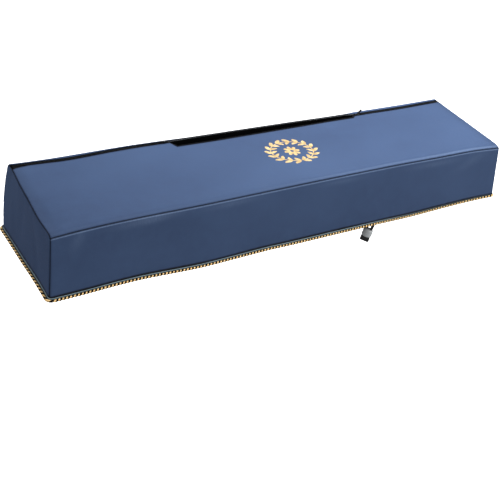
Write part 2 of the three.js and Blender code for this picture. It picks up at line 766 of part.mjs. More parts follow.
const frontPath = stations.map((x) => ({ x, y: topEdge(x) }));
const frontSide = sideways(frontPath);
const frontStrip = frontPath.map(({ x, y }, k) => {
  const step = frontSide[k];
  const shown = isOpen(x)
    ? { x: x + step.x * TAPE_SHOWS, y: y + step.y * TAPE_SHOWS }
    : { x, y: zipLine(x) - ZIP_HALF + TAPE_SHOWS };
  const sewn = isOpen(x)
    ? { x: x - step.x * TAPE_UNDER, y: y - step.y * TAPE_UNDER }
    : { x, y: y - TAPE_UNDER };
  return { sewn, shown };
});
const onTop = ({ x, y }, lift) => onSurface(x, reachAt(x, y), lift, 0);
const tapeRing = (from, to) => [
  onTop(from, tapeTop - TAPE),
  onTop(to, tapeTop - TAPE),
  onTop(to, tapeTop),
  onTop(from, tapeTop),
];
add("zip_front_tape", band(frontStrip.map(({ sewn, shown }) => tapeRing(sewn, shown))), ZIP_TAPE);

const rearReaches = stations.map((x) => {
  const edge = reachAt(x, backEdge(x));
  const shown = isParted(x) ? edge - TAPE_SHOWS : reachAt(x, zipLine(x) + ZIP_HALF - TAPE_SHOWS);
  return { x, sewn: edge + TAPE_UNDER, shown };
});
add(
  "zip_rear_tape",
  band(
    rearReaches.map(({ x, sewn, shown }) => [
      onSurface(x, shown, tapeTop - TAPE),
      onSurface(x, sewn, tapeTop - TAPE),
      onSurface(x, sewn, tapeTop),
      onSurface(x, shown, tapeTop),
    ]),
  ),
  ZIP_TAPE,
);

// Zip coils: whole where the zip is closed, and a half on each tape's inner edge where it is undone
const coilFoot = tapeTop + GAP;
function coilSection(from, to) {
  const slant = COIL_HEIGHT / 2;
  return [
    [from, coilFoot],
    [to, coilFoot],
    [to, coilFoot + slant],
    [lerp(from, to, 0.75), coilFoot + COIL_HEIGHT],
    [lerp(from, to, 0.25), coilFoot + COIL_HEIGHT],
    [from, coilFoot + slant],
  ];
}
const closedCoil = (from, to) =>
  band(
    [from, ...stations.filter((x) => x > from + 1 && x < to - 1), to].map((x) => {
      const middle = reachAt(x, zipLine(x));
      return coilSection(-COIL_WIDTH / 2, COIL_WIDTH / 2).map(([aside, lift]) =>
        onSurface(x, middle + aside, lift, 0),
      );
    }),
  );
const sliderRoom = SLIDER.length / 2 + GAP;
add("zip_coil_left", closedCoil(-COIL_END, SLIDERS[0].x - sliderRoom), ZIP_COIL);
add("zip_coil_right", closedCoil(SLIDERS[1].x + sliderRoom, COIL_END), ZIP_COIL);

const HALF_COIL = 2.4;
const frontHalf = frontPath
  .map(({ x, y }, k) => ({ x, y, step: frontSide[k] }))
  .filter(({ x }) => x > SLIDERS[0].x + sliderRoom && x < SLIDERS[1].x - sliderRoom && isOpen(x));
add(
  "zip_coil_front",
  band(
    frontHalf.map(({ x, y, step }) =>
      coilSection(TAPE_SHOWS - HALF_COIL, TAPE_SHOWS).map(([aside, lift]) =>
        onTop({ x: x + step.x * aside, y: y + step.y * aside }, lift),
      ),
    ),
  ),
  ZIP_COIL,
);
const rearHalf = rearReaches.filter(
  ({ x }) => x > SLIDERS[0].x + sliderRoom && x < SLIDERS[1].x - sliderRoom,
);
add(
  "zip_coil_rear",
  band(
    rearHalf.map(({ x, shown }) =>
      coilSection(shown, shown + HALF_COIL).map(([reach, lift]) => onSurface(x, reach, lift)),
    ),
  ),
  ZIP_COIL,
);

// Joins and cuts of small hard pieces
function toManifold(geometry) {
  const bare = geometry.clone();
  bare.deleteAttribute("normal");
  bare.deleteAttribute("uv");
  const merged = mergeVertices(bare, 1e-4);
  return new wasm.Manifold(
    new wasm.Mesh({
      numProp: 3,
      vertProperties: new Float32Array(merged.attributes.position.array),
      triVerts: new Uint32Array(merged.index.array),
    }),
  );
}
function fromManifold(shape) {
  const { vertProperties, triVerts } = shape.getMesh();
  const geometry = new THREE.BufferGeometry();
  geometry.setAttribute("position", new THREE.BufferAttribute(new Float32Array(vertProperties), 3));
  geometry.setIndex(new THREE.BufferAttribute(new Uint32Array(triVerts), 1));
  return geometry;
}
const block = (width, depth, height, x, y, z) => {
  const geometry = new THREE.BoxGeometry(width, depth, height);
  geometry.translate(x, y, z);
  return toManifold(geometry);
};

// Sliders: a shield-shaped plate over the coil with a bridge, and a pull whose pin lies under the bridge
function sliderBody() {
  const { length, width, plate, bridgeLength, bridgeWidth, bridgeHeight, bar } = SLIDER;
  const shield = new THREE.Shape();
  shield.moveTo(-length / 2, -width / 2);
  shield.lineTo(length / 4, -width / 2);
  shield.quadraticCurveTo(length / 2, -width / 2, length / 2, 0);
  shield.quadraticCurveTo(length / 2, width / 2, length / 4, width / 2);
  shield.lineTo(-length / 2, width / 2);
  shield.quadraticCurveTo(-length / 4, 0, -length / 2, -width / 2);
  const foot = new THREE.ExtrudeGeometry(shield, { depth: plate, bevelEnabled: false, curveSegments: 4 });
  const post = bridgeLength / 2 - bar / 2;
  const high = plate + bridgeHeight / 2;
  const arch = block(bar, bridgeWidth, bridgeHeight, -post, 0, high)
    .add(block(bar, bridgeWidth, bridgeHeight, post, 0, high))
    .add(block(bridgeLength, bridgeWidth, bar, 0, 0, plate + bridgeHeight - bar / 2));
  return fromManifold(toManifold(foot).add(arch));
}
function pullTab() {
  const { length, width, thick, pin, arm, window: opening } = PULL;
  const outline = new THREE.Shape();
  outline.moveTo(-pin / 2, -width / 2);
  outline.lineTo(length - width / 2, -width / 2);
  outline.absarc(length - width / 2, 0, width / 2, -Math.PI / 2, Math.PI / 2);
  outline.lineTo(-pin / 2, width / 2);
  outline.closePath();
  const slot = new THREE.Path();
  slot.moveTo(pin / 2, -width / 2 + arm);
  slot.lineTo(pin / 2, width / 2 - arm);
  slot.lineTo(pin / 2 + opening, width / 2 - arm);
  slot.lineTo(pin / 2 + opening, -width / 2 + arm);
  slot.closePath();
  outline.holes.push(slot);
  const tab = new THREE.ExtrudeGeometry(outline, { depth: thick, bevelEnabled: false, curveSegments: 5 });
  tab.translate(0, 0, -thick / 2);
  return mergeVertices(tab);
}
for (const { name, x, towards, lift } of SLIDERS) {
  const { place, normal } = rearCurve(x, reachAt(x, zipLine(x)));
  const holder = new THREE.Group();
  holder.position.copy(place).addScaledVector(normal, coilFoot);
  holder.rotation.x = -Math.atan2(normal.y, normal.z);
  cover.add(holder);
  const body = new THREE.Mesh(sliderBody(), SLIDER_METAL);
  body.name = `zip_slider_${name}`;
  body.rotation.z = towards > 0 ? Math.PI : 0;
  const pull = new THREE.Mesh(pullTab(), SLIDER_METAL);
  pull.name = `zip_pull_${name}`;
  pull.position.z = SLIDER.plate + (SLIDER.bridgeHeight - SLIDER.bar) / 2;
  pull.rotation.set(0, -THREE.MathUtils.degToRad(lift), towards > 0 ? 0 : Math.PI, "ZYX");
  holder.add(body, pull);
}

// Drawcord: two elastic ends come out of the hem's inner face and run through the lock into the clip
const lockTurn = new THREE.Euler(
  0,
  THREE.MathUtils.degToRad(LOCK.lean),
  THREE.MathUtils.degToRad(LOCK.turn),
  "ZYX",
);
const inLock = (aside, up) => vector(aside, 0, up).applyEuler(lockTurn).add(vector(LOCK.x, LOCK.y, LOCK.height));
const half = BARREL.height / 2;
const clipTop = -half - GAP;

for (const { name, side, x } of CORD_EXITS) {
  const aside = side * CORD_SPACING;
  const start = vector(x, frontY(HEM_FOLD) + HEM_CLOTH + CORD / 2 + GAP, HEM_FOLD / 2 + 3);
  const below = start.clone().add(vector(0, 0, -CORD_EASE));
  const fall = new THREE.CubicBezierCurve3(start, below, inLock(aside, half + CORD_EASE), inLock(aside, half));
  const end = inLock(aside, clipTop - END_CLIP.socket + GAP);
  const route = new THREE.CatmullRomCurve3([...fall.getPoints(6), inLock(aside, 0), inLock(aside, clipTop), end]);
  const ring = new THREE.Shape(
    Array.from({ length: CORD_SIDES }, (_, k) => {
      const angle = (k * 2 * Math.PI) / CORD_SIDES;
      return new THREE.Vector2((CORD / 2) * Math.cos(angle), (CORD / 2) * Math.sin(angle));
    }),
  );
  const tube = new THREE.ExtrudeGeometry(ring, { steps: CORD_STEPS, extrudePath: route });
  add(`drawcord_${name}`, tube, ELASTIC);
}

const bore = (aside, from, to) => {
  const radius = CORD / 2 + GAP + 0.1;
  const geometry = new THREE.CylinderGeometry(radius, radius, to - from, 14);
  geometry.rotateX(Math.PI / 2);
  geometry.translate(aside, 0, (from + to) / 2);
  return toManifold(geometry);
};
function hang(mesh) {
  mesh.position.set(LOCK.x, LOCK.y, LOCK.height);
  mesh.rotation.copy(lockTurn);
}

const edgeSteps = 4;
const arcPoints = (middle, from) =>
  Array.from({ length: edgeSteps + 1 }, (_, k) => {
    const angle = from + ((k / edgeSteps) * Math.PI) / 2;
    return new THREE.Vector2(
      BARREL.width / 2 - BARREL.edge + BARREL.edge * Math.cos(angle),
      middle + BARREL.edge * Math.sin(angle),
    );
  });
const barrelProfile = [
  new THREE.Vector2(0, -half),
  ...arcPoints(-half + BARREL.edge, -Math.PI / 2),
  ...arcPoints(half - BARREL.edge, 0),
  new THREE.Vector2(0, half),
];
const barrelShape = new THREE.LatheGeometry(barrelProfile, 24);
barrelShape.rotateX(Math.PI / 2);
barrelShape.scale(1, BARREL.depth / BARREL.width, 1);
let barrel = toManifold(barrelShape);
for (const { side } of CORD_EXITS) barrel = barrel.subtract(bore(side * CORD_SPACING, -half - 1, half + 1));
hang(add("cord_lock", fromManifold(barrel), LOCK_BODY));

const clipShape = new RoundedBoxGeometry(END_CLIP.width, END_CLIP.depth, END_CLIP.height, 2, END_CLIP.edge);
clipShape.translate(0, 0, clipTop - END_CLIP.height / 2);
let clip = toManifold(clipShape);
for (const { side } of CORD_EXITS) {
  clip = clip.subtract(bore(side * CORD_SPACING, clipTop - END_CLIP.socket, clipTop + 1));
}
hang(add("cord_end_clip", fromManifold(clip), BLACK_PLASTIC));

// The origin is where what it covers carries it, under the middle of the top
cover.position.z = -(flatTop(0, 0) - CLOTH / Math.cos(Math.atan(slopeAt(0))));

export default cover;
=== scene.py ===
import bpy
import math
import numpy as np
from functools import partial, reduce
from mathutils import Matrix, Vector


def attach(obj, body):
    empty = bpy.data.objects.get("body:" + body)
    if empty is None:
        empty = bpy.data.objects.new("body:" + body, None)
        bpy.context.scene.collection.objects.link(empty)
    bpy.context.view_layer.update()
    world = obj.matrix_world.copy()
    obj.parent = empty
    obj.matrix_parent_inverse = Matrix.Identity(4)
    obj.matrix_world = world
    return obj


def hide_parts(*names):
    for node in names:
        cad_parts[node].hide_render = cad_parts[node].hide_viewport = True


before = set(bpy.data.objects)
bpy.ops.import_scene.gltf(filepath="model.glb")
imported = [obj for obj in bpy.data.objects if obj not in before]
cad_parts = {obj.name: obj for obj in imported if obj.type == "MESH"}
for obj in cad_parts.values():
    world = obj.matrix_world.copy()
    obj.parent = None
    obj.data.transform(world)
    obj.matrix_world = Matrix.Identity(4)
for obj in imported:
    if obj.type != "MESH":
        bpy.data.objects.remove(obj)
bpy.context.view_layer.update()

# The cover's own sizes, as in the solids: millimetres, with heights from the hem and +Y to the rear
LENGTH, DEPTH, REAR_HEIGHT, FRONT_HEIGHT = 1348, 315, 174, 150
END_LEAN, FRONT_LEAN, REAR_EDGE = 12, 14.5, 148
HEM_CLOTH, HEM_FOLD, GAP = 3, 14, 0.3
TURN = math.pi / 4
FRONT_ROLL, EDGE_ROLL, HEM_ROLL, REAR_ROLL = 22, 6, 8, 7
ZIP_HALF, TAPE_SHOWS, TAPE_UNDER, TAPE_TOP, TAPE_FOOT = 6, 5.5, 6, -1.8, -2.8
COIL_FOOT, COIL_WIDTH, HALF_COIL, COIL_HEIGHT, COIL_END = -1.5, 5, 2.4, 1.8, 648
TOP_HEIGHT = 163.676  # of the frame's origin above the hem

FRONT_LINE = [(-660, 148), (-600, 151.5), (-500, 154.5), (-300, 154.5), (-100, 156.5), (110, 158), (300, 158),
              (430, 156.3), (570, 155), (660, 149)]
REAR_LINE = [(-660, 173.5), (-550, 173.6), (-350, 175.8), (-250, 174.6), (0, 173), (350, 171), (530, 171),
             (660, 172.5)]
REAR_WALL = [(0, 160), (65, 164.5), (115, 161.5), (145, 155), (168, REAR_EDGE)]
LEFT_SLUMP = [(-160, 0.5), (-136, 1), (-70, 3.2), (0, 1), (60, -0.5), (120, -3.5), (150, -2)]
SLUMP_REACH, SLUMP_FOOT, SLUMP_OUT = 130, 50, 0.8
# How far the hem rises and stands out along each side
FRONT_HEM = [(-670, -2.8, 0), (-600, -0.9, 0.7), (-505, 1.7, -0.5), (-440, 1.8, -0.5), (-400, 0.5, 0),
             (-297, -2.2, 1.6), (-208, -1.2, 0.7), (-100, 0.6, -0.2), (-44, 0.2, 0.2), (133, 0.8, 0.2),
             (241, 0.5, 0), (352, -0.2, 0.8), (440, 0.9, 0), (500, 1.8, -0.3), (600, 2, -0.5), (670, 1, 0)]
REAR_HEM = [(-670, 1.5, 0), (-480, 3, 2), (-250, -2, -1), (20, 2, 2), (290, -2, 0), (500, 2, 2), (670, 1, 0)]
LEFT_HEM = [(-155, -2.8, 0), (-140, -0.5, 0), (-110, 1.5, 0), (-65, 2.6, 0), (0, 1.4, 0), (60, 2, 0),
            (110, 2, 0), (160, 1.5, 0)]
RIGHT_HEM = [(-155, 1, 0), (-60, -1.5, 2), (60, 1, 0), (160, 1, 0)]
ZIP_LINE = [(-660, 131.5), (-580, 131.5), (-520, 128.5), (-400, 132), (-250, 133.5), (345, 126), (400, 127),
            (480, 126), (660, 129)]
OPENING_EDGE = [(-248, 127.5), (-238, 105), (-120, 104), (0, 106), (140, 108.5), (240, 111), (326, 111.5),
                (337, 120)]
LEFT_SPREAD = [(-660, 117), (-645, 122), (-618, 125.5)]
# Where the rear strip's edge runs along the opening, and how far it sags
REAR_STRIP = [(-248, 139.5, 0), (-200, 142, 1), (-90, 144, 1), (140, 143.5, 1), (240, 143, 1.8),
              (315, 141.5, 1.8), (337, 136, 1), (350, 132, 0)]
SLIDER_X = (-253, 350)
SLIDER_ROOM = 6.3

# Cloth of the scene: its thickness, how deep a sewn edge turns in and how far that goes on inside, both less
# near a corner, and the grids' step
CLOTH, TUCK, ALLOWANCE, CORNER_EASE, CORNER_ALLOWANCE, STEP = 1.2, 1.7, 4, 7, 4, 4.5


# The surfaces

def smooth(table):
    """A smooth curve through a table's (place, value) rows."""
    places, values = np.array(table, float).T
    last = len(places) - 1

    def at(where):
        where = np.clip(where, places[0], places[-1])
        k = np.clip(np.searchsorted(places, where, "right"), 1, last)
        start, end = places[k - 1], places[k]
        before = np.where(k > 1, k - 2, k)
        after = np.where(k < last, np.minimum(k + 1, last), k - 1)
        half = (end - start) / 2
        w0 = half / (start - places[before])
        w1 = half / (places[after] - end)
        p = (where - start) / (end - start)
        p2, p3 = p * p, p * p * p
        return (
            (-w0 * p3 + 2 * w0 * p2 - w0 * p) * values[before]
            + ((1 + w0) * p3 - (1.5 + 2 * w0) * p2 + (w0 - 0.5) * p + 1) * values[k - 1]
            + (-(1 + w1) * p3 + (1.5 + w1) * p2 + 0.5 * p) * values[k]
            + (w1 * p3 - w1 * p2) * values[after]
        )

    return at


def straight(table, column=1):
    rows = np.array(table, float)
    return lambda where: np.interp(where, rows[:, 0], rows[:, column])


def spans(table, x):
    return (x >= table[0][0]) & (x <= table[-1][0])


def hem_curves(table):
    """How far the hem rises and how far it stands out, by its place."""
    rows = np.array(table, float)
    return smooth(rows[:, :2]), smooth(rows[:, ::2])


def lerp(a, b, share):
    return a + (b - a) * share


def unit(v):
    return v / np.maximum(np.linalg.norm(v, axis=-1, keepdims=True), 1e-12)


def stack(x, y, z):
    return np.stack(np.broadcast_arrays(x, y, z), -1).astype(float)


def roll_width(radius):
    return radius * math.sin(TURN)


def roll_depth(radius):
    return radius * (1 - math.cos(TURN))


def edge_drop(distance, radius):
    past = np.maximum(0, roll_width(radius) - distance)
    return radius - np.sqrt(radius * radius - past * past)


def end_x(z):
    return LENGTH / 2 - END_LEAN * z / REAR_HEIGHT


def front_y(z):
    return -DEPTH / 2 + FRONT_LEAN * z / FRONT_HEIGHT


def corner_roll(z):
    return lerp(HEM_ROLL, EDGE_ROLL, np.clip(z / FRONT_HEIGHT, 0, 1))


def seam_x(z):
    return end_x(z) - roll_depth(corner_roll(z))


def from_seam(x, z):
    return np.maximum(0, seam_x(z) - np.abs(x))


front_line, rear_line = smooth(FRONT_LINE), smooth(REAR_LINE)
rear_wall = smooth(REAR_WALL)
rear_strip, rear_sag = straight(REAR_STRIP), straight(REAR_STRIP, 2)
zip_line, left_spread, opening_edge = smooth(ZIP_LINE), straight(LEFT_SPREAD), straight(OPENING_EDGE)
slump_drop = smooth(LEFT_SLUMP)
FRONT_SEAM = front_y(FRONT_HEIGHT) + roll_depth(EDGE_ROLL)
ROLL_MIDDLE = REAR_EDGE - REAR_ROLL
WALL_TOP = REAR_WALL[-1][0]


def slope_at(x):
    return (rear_line(x) - front_line(x)) / (ROLL_MIDDLE - FRONT_SEAM)


def flat_top(x, y):
    return front_line(x) + slope_at(x) * (y - FRONT_SEAM)


def front_seam(x):
    """(y, z) of the seam between the top and the front."""
    whole = flat_top(x, FRONT_SEAM) - roll_depth(FRONT_ROLL)
    z = whole - edge_drop(from_seam(x, whole), EDGE_ROLL)
    y = front_y(z) + roll_depth(EDGE_ROLL) + edge_drop(from_seam(x, z), corner_roll(z))
    return y, z


def top_point(x, y):
    flat = flat_top(x, y)
    front = edge_drop(y - front_seam(x)[0], FRONT_ROLL)
    return stack(x, y, flat - front - edge_drop(from_seam(x, flat - roll_depth(EDGE_ROLL)), EDGE_ROLL))


def rear_curve(x, reach, sag=None):
    """Point and normal on the section at x, reach along it from where the rear roll starts."""
    x, reach = np.broadcast_arrays(np.asarray(x, float), np.asarray(reach, float))
    sag = rear_sag(x) if sag is None else sag
    slope = np.arctan(slope_at(x))
    start_y = ROLL_MIDDLE - REAR_ROLL * np.sin(slope)
    middle_z = flat_top(x, start_y) - REAR_ROLL * np.cos(slope) - sag
    wall_start = REAR_ROLL * (math.pi / 2 + slope)
    flat_y = start_y + reach * np.cos(slope)
    turned = np.clip(reach, 0, wall_start) / REAR_ROLL - slope
    wall_z = middle_z - (reach - wall_start)
    flat_and_roll = [reach <= 0, reach <= wall_start]
    y = np.select(flat_and_roll, [flat_y, ROLL_MIDDLE + REAR_ROLL * np.sin(turned)],
                  rear_wall(wall_z * WALL_TOP / middle_z))
    z = np.select(flat_and_roll, [flat_top(x, flat_y) - sag, middle_z + REAR_ROLL * np.cos(turned)], wall_z)
    ny = np.select(flat_and_roll, [-np.sin(slope), np.sin(turned)], 1)
    nz = np.select(flat_and_roll, [np.cos(slope), np.cos(turned)], 0)
    place, normal = stack(x, y, z), stack(0 * x, ny, nz)
    place -= normal * edge_drop(from_seam(x, z), corner_roll(z))[..., None]
    return place, normal, wall_start, middle_z


def leaning(guess, reach, place_x):
    """Points of the rear section, once the x at every point's own height is known."""
    return rear_curve(place_x(rear_curve(guess, reach)[0][..., 2]), reach)[0]


def reach_at(x, y):
    slope = np.arctan(slope_at(x))
    start_y = ROLL_MIDDLE - REAR_ROLL * np.sin(slope)
    over = REAR_ROLL * (slope + np.arcsin(np.clip((y - ROLL_MIDDLE) / REAR_ROLL, -1, 1)))
    return np.where(y <= start_y, (y - start_y) / np.cos(slope), over)


def slumped(points):
    """The slump of the left end's top edge, which moves everything near it."""
    x, y, z = np.moveaxis(points, -1, 0)
    near = np.clip(1 - (end_x(z) + x) / SLUMP_REACH, 0, 1)
    share = np.clip((z - SLUMP_FOOT) / (FRONT_HEIGHT - SLUMP_FOOT), 0, 1)
    drop = slump_drop(y) * near * near * share * share * (3 - 2 * share)
    return stack(x - SLUMP_OUT * drop, y, z - drop)


def to_frame(points):
    """From millimetres over the hem to the row frame in metres."""
    return (slumped(np.asarray(points, float)) - (0, 0, TOP_HEIGHT)) / 1000


# Lines and meshes

UP = np.array((0, 0, 1))


def run(points):
    """The length of a line up to each of its points."""
    return np.r_[0, np.cumsum(np.linalg.norm(np.diff(points, axis=0), axis=1))]


def on_line(at, places, points):
    """Points of a line at other places along it."""
    return np.stack([np.interp(at, places, column) for column in points.T], -1)


def smoothed(loop, times):
    """A closed line whose points are drawn to their neighbours."""
    for _ in range(times):
        loop = (np.roll(loop, 1, 0) + 2 * loop + np.roll(loop, -1, 0)) / 4
    return loop


def onwards(loop):
    """Unit directions along a closed line."""
    return unit(np.roll(loop, -1, 0) - np.roll(loop, 1, 0))


def circle(sides):
    around = 2 * math.pi * np.arange(sides) / sides
    return np.cos(around), np.sin(around)


def rings_round(middle, first, second, radius, sides):
    """Rings round the points of a line, in the plane of two directions."""
    c, s = (v[:, None] for v in circle(sides))
    second = np.broadcast_to(second, middle.shape)
    return middle[:, None] + radius * (first[:, None] * c + second[:, None] * s)


def in_scene(name, data):
    thing = bpy.data.objects.new(name, data)
    bpy.context.scene.collection.objects.link(thing)
    return thing


def new_object(name, points, faces, materials, node=None):
    """A smooth closed mesh that rides on the root, with its faces turned out."""
    tri = np.array([f[:3] for f in faces] + [(f[0], f[2], f[3]) for f in faces if len(f) == 4])
    a, b, c = points[tri[:, 0]], points[tri[:, 1]], points[tri[:, 2]]
    if np.sum(a * np.cross(b, c)) <= 0:
        faces = [face[::-1] for face in faces]
    mesh = bpy.data.meshes.new(name)
    mesh.from_pydata(to_frame(points).tolist(), [], faces)
    for material in materials:
        mesh.materials.append(material)
    mesh.shade_smooth()
    mesh.update()
    piece = in_scene(name, mesh)
    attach(piece, "root")
    if node:
        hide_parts(node)
    return piece


def mark(piece, name, values):
    """Values at a piece's points, for its material to read."""
    layer = piece.data.attributes.new(name, "FLOAT", "POINT")
    layer.data.foreach_set("value", values.astype(np.float32).ravel())


def outward_normals(grid):
    """Unit normals of a grid of points, away from the middle of the cover."""
    normals = unit(np.cross(np.gradient(grid, axis=1), np.gradient(grid, axis=0)))
    middle = np.array((0, 0, REAR_HEIGHT / 2))
    side = np.sum(normals * (grid - middle) * (0.05, 1, 1), axis=-1).mean()
    return normals if side > 0 else -normals


def cloth_sheet(name, node, grid, thick, materials, marks):
    """A closed sheet of cloth: the outer grid, an inner face of lining and the rim between them."""
    rows, columns = grid.shape[:2]
    inner = grid - outward_normals(grid) * thick[..., None]
    count, cells = rows * columns, (rows - 1) * (columns - 1)
    index = np.arange(count).reshape(rows, columns)
    quads = np.stack([index[:-1, :-1], index[:-1, 1:], index[1:, 1:], index[1:, :-1]], -1).reshape(-1, 4)
    rim = np.concatenate([index[0, :-1], index[:-1, -1], index[-1, :0:-1], index[:0:-1, 0]])
    following = np.roll(rim, -1)
    rim_quads = np.stack([following, rim, rim + count, following + count], -1)
    faces = np.vstack([quads, quads[:, [0, 3, 2, 1]] + count, rim_quads]).tolist()
    points = np.vstack([grid.reshape(-1, 3), inner.reshape(-1, 3)])
    piece = new_object(name, points, faces, materials, node)
    piece.data.polygons.foreach_set("material_index", [0] * cells + [1] * cells + [0] * len(rim))
    for key, values in marks.items():
        mark(piece, key, np.tile(values.ravel(), 2))
    return piece


def tube_object(name, rings, material, node=None, closed=False):
    """A piece of tubes through rings of points: rings is (tubes, stations, sides, 3)."""
    tubes, stations, sides = rings.shape[:3]
    index = np.arange(tubes * stations * sides).reshape(tubes, stations, sides)
    after = np.roll(index, -1, axis=1) if closed else index[:, 1:]
    first = index if closed else index[:, :-1]
    faces = np.stack([first, np.roll(first, -1, 2), np.roll(after, -1, 2), after], -1).reshape(-1, 4).tolist()
    if not closed:
        faces += index[:, 0, ::-1].tolist() + index[:, -1, :].tolist()
    return new_object(name, rings.reshape(-1, 3), faces, [material], node)


# Materials

class Nodes:
    """The node tree of a material or of the world, with short ways to add and join nodes."""

    def __init__(self, owner, shader="Principled BSDF"):
        owner.use_nodes = True
        self.owner, self.tree = owner, owner.node_tree
        self.shader = self.tree.nodes[shader]
        self.coordinates = self.add("ShaderNodeTexCoord").outputs

    def put(self, sockets, values):
        """Sets each socket to its value, or joins it to the output given for it."""
        for key, value in values.items():
            if isinstance(value, bpy.types.NodeSocket):
                self.tree.links.new(value, sockets[key])
            else:
                sockets[key].default_value = value

    def add(self, kind, values=None, **settings):
        node = self.tree.nodes.new(kind)
        for key, value in settings.items():
            setattr(node, key, value)
        self.put(node.inputs, values or {})
        return node

    def math(self, operation, a, b=0.0, c=0.0):
        return self.add("ShaderNodeMath", {0: a, 1: b, 2: c}, operation=operation).outputs[0]

    def length(self, a, b):
        return self.math("SQRT", self.math("ADD", self.math("MULTIPLY", a, a), self.math("MULTIPLY", b, b)))

    def mark(self, name):
        return self.add("ShaderNodeAttribute", attribute_name=name).outputs["Fac"]

    def noise(self, scale, detail=3.0, stretch=(1, 1, 1), roughness=0.5):
        spread = self.add("ShaderNodeMapping", {"Vector": self.coordinates["Object"], "Scale": stretch})
        node = self.add("ShaderNodeTexNoise", {
            "Vector": spread.outputs[0], "Scale": scale, "Detail": detail, "Roughness": roughness})
        return node.outputs["Fac"]

    def between(self, value, low, high, out_low=0.0, out_high=1.0):
        values = {"Value": value, "From Min": low, "From Max": high, "To Min": out_low, "To Max": out_high}
        return self.add("ShaderNodeMapRange", values).outputs[0]

    def mix(self, share, a, b):
        return self.add("ShaderNodeMix", {0: share, 6: a, 7: b}, data_type="RGBA").outputs[2]

    def bump(self, height, strength, distance, **normal):
        values = {"Height": height, "Strength": strength, "Distance": distance, **normal}
        return self.add("ShaderNodeBump", values).outputs[0]

    def finish(self, color, roughness, **sockets):
        sockets = {key.replace("_", " "): value for key, value in sockets.items()}
        self.put(self.shader.inputs, {"Base Color": color, "Roughness": roughness, **sockets})
        return self.owner


def material_nodes(name):
    return Nodes(bpy.data.materials.new(name))


def rgb(r, g, b):
    """An sRGB colour in 0 to 255 as the linear colour of a socket."""
    parts = (v / 255 / 12.92 if v < 11 else ((v / 255 + 0.055) / 1.055) ** 2.4 for v in (r, g, b))
    return (*parts, 1)


# The printed wreath in metres: its middle, half width and half height, and above which height it shows.
# Its leaves stand in pairs on half of it, and they and the stem are measured in shares of its size
WREATH_X, WREATH, WREATH_SHOWS = 0.044, (0.060, 0.048), (-0.03, -0.02)
LEAF_PAIRS, LEAF_OUT, LEAF_HALF, LEAF_WIDE, LEAF_SLANT, LEAF_EDGE = 8, 0.13, 0.17, 0.3, 1.6, 0.05
STEM = (0.022, 0.034)
# The flower in its middle: petals on half of it, their roundness, length, root, soft edge, and its eye
PETALS, PETAL_ROUND, PETAL_LONG, PETAL_ROOT, PETAL_EDGE = 4.0, 0.6, 0.014, 0.009, 0.0004
EYE = (0.0045, 0.0053)


def velvet(name, ornament=False):
    n = material_nodes(name)
    broad = n.noise(4.0, 2.0, (0.6, 1, 1))
    nap = n.noise(38.0, 4.0, (1, 1, 1), 0.6)
    pile = n.noise(2600.0, 2.0)
    highlight_breakup = n.noise(300.0, 3.0, (1, 1, 0.3))
    base = n.mix(n.between(broad, 0.3, 0.7), rgb(46, 62, 91), rgb(56, 74, 105))
    base = n.mix(n.between(nap, 0.3, 0.75, 0.0, 0.35), base, rgb(61, 80, 111))
    base = n.mix(n.between(pile, 0.35, 0.7, 0.0, 0.3), base, rgb(38, 52, 78))
    # Painted highlight: the velvet is lightened to a pale blue where its points' highlight mark is set,
    # broken up by fine noise, in place of light caught on rolled edges and soft bulges
    highlight_mix = n.math("MULTIPLY", n.mark("painted_highlight"), n.between(highlight_breakup, 0.25, 0.7, 0.55, 1.0))
    base = n.mix(highlight_mix, base, rgb(122, 142, 174))
    # Painted shade: the velvet is taken to near black where its points' seam mark is set, in place of the
    # shade in seam grooves, along the hem's foot, beside the ends and along the zip's edges
    base = n.mix(n.mark("seam"), base, rgb(7, 10, 18))
    rough = n.between(nap, 0.2, 0.8, 0.72, 0.86)
    if ornament:
        mask = ornament_mask(n)
        foil = n.mix(n.between(n.noise(90.0, 4.0), 0.35, 0.7), rgb(160, 132, 82), rgb(206, 182, 130))
        base = n.mix(mask, base, foil)
        rough = n.mix(mask, rough, (0.42, 0.42, 0.42, 1))
    normal = n.bump(nap, 0.12, 0.002, Normal=n.bump(pile, 0.35, 0.0004))
    return n.finish(base, rough, Normal=normal, Sheen_Weight=0.25, Sheen_Roughness=0.45,
                    Sheen_Tint=rgb(130, 160, 220), Specular_IOR_Level=0.15)


def ornament_mask(n):
    """A generic printed wreath of leaves round an eight-petalled flower, the same on its left and right."""
    minus, times, over, most = (
        partial(n.math, name) for name in ("SUBTRACT", "MULTIPLY", "DIVIDE", "MAXIMUM"))
    cut = n.add("ShaderNodeSeparateXYZ", {0: n.coordinates["Object"]}).outputs
    x, y = n.math("ABSOLUTE", minus(cut[0], WREATH_X)), cut[1]
    across, up = over(x, WREATH[0]), over(y, WREATH[1])
    around = over(n.math("ARCTAN2", up, across), math.pi)
    cell = minus(n.math("FRACT", times(around, LEAF_PAIRS)), 0.5)
    off = minus(n.length(across, up), 1.0)

    def leaves(side):
        """A slanted leaf of every cell, beside the stem on one side."""
        u = minus(times(off, side), LEAF_OUT)
        long = over(u, LEAF_HALF)
        wide = n.math("ABSOLUTE", over(minus(cell, times(u, LEAF_SLANT)), LEAF_WIDE))
        return n.between(minus(minus(1.0, times(long, long)), wide), -LEAF_EDGE, LEAF_EDGE)

    stem = n.between(n.math("ABSOLUTE", off), *STEM, 1.0, 0.0)
    wreath = most(stem, most(leaves(1.0), leaves(-1.0)))
    far = n.length(x, y)
    petals = n.math("ABSOLUTE", n.math("COSINE", times(n.math("ARCTAN2", y, x), PETALS)))
    reach = n.math("MULTIPLY_ADD", n.math("POWER", petals, PETAL_ROUND), PETAL_LONG, PETAL_ROOT)
    flower = times(n.between(minus(reach, far), -PETAL_EDGE, PETAL_EDGE), n.between(far, *EYE))
    return times(most(wreath, flower), n.between(cut[2], *WREATH_SHOWS))


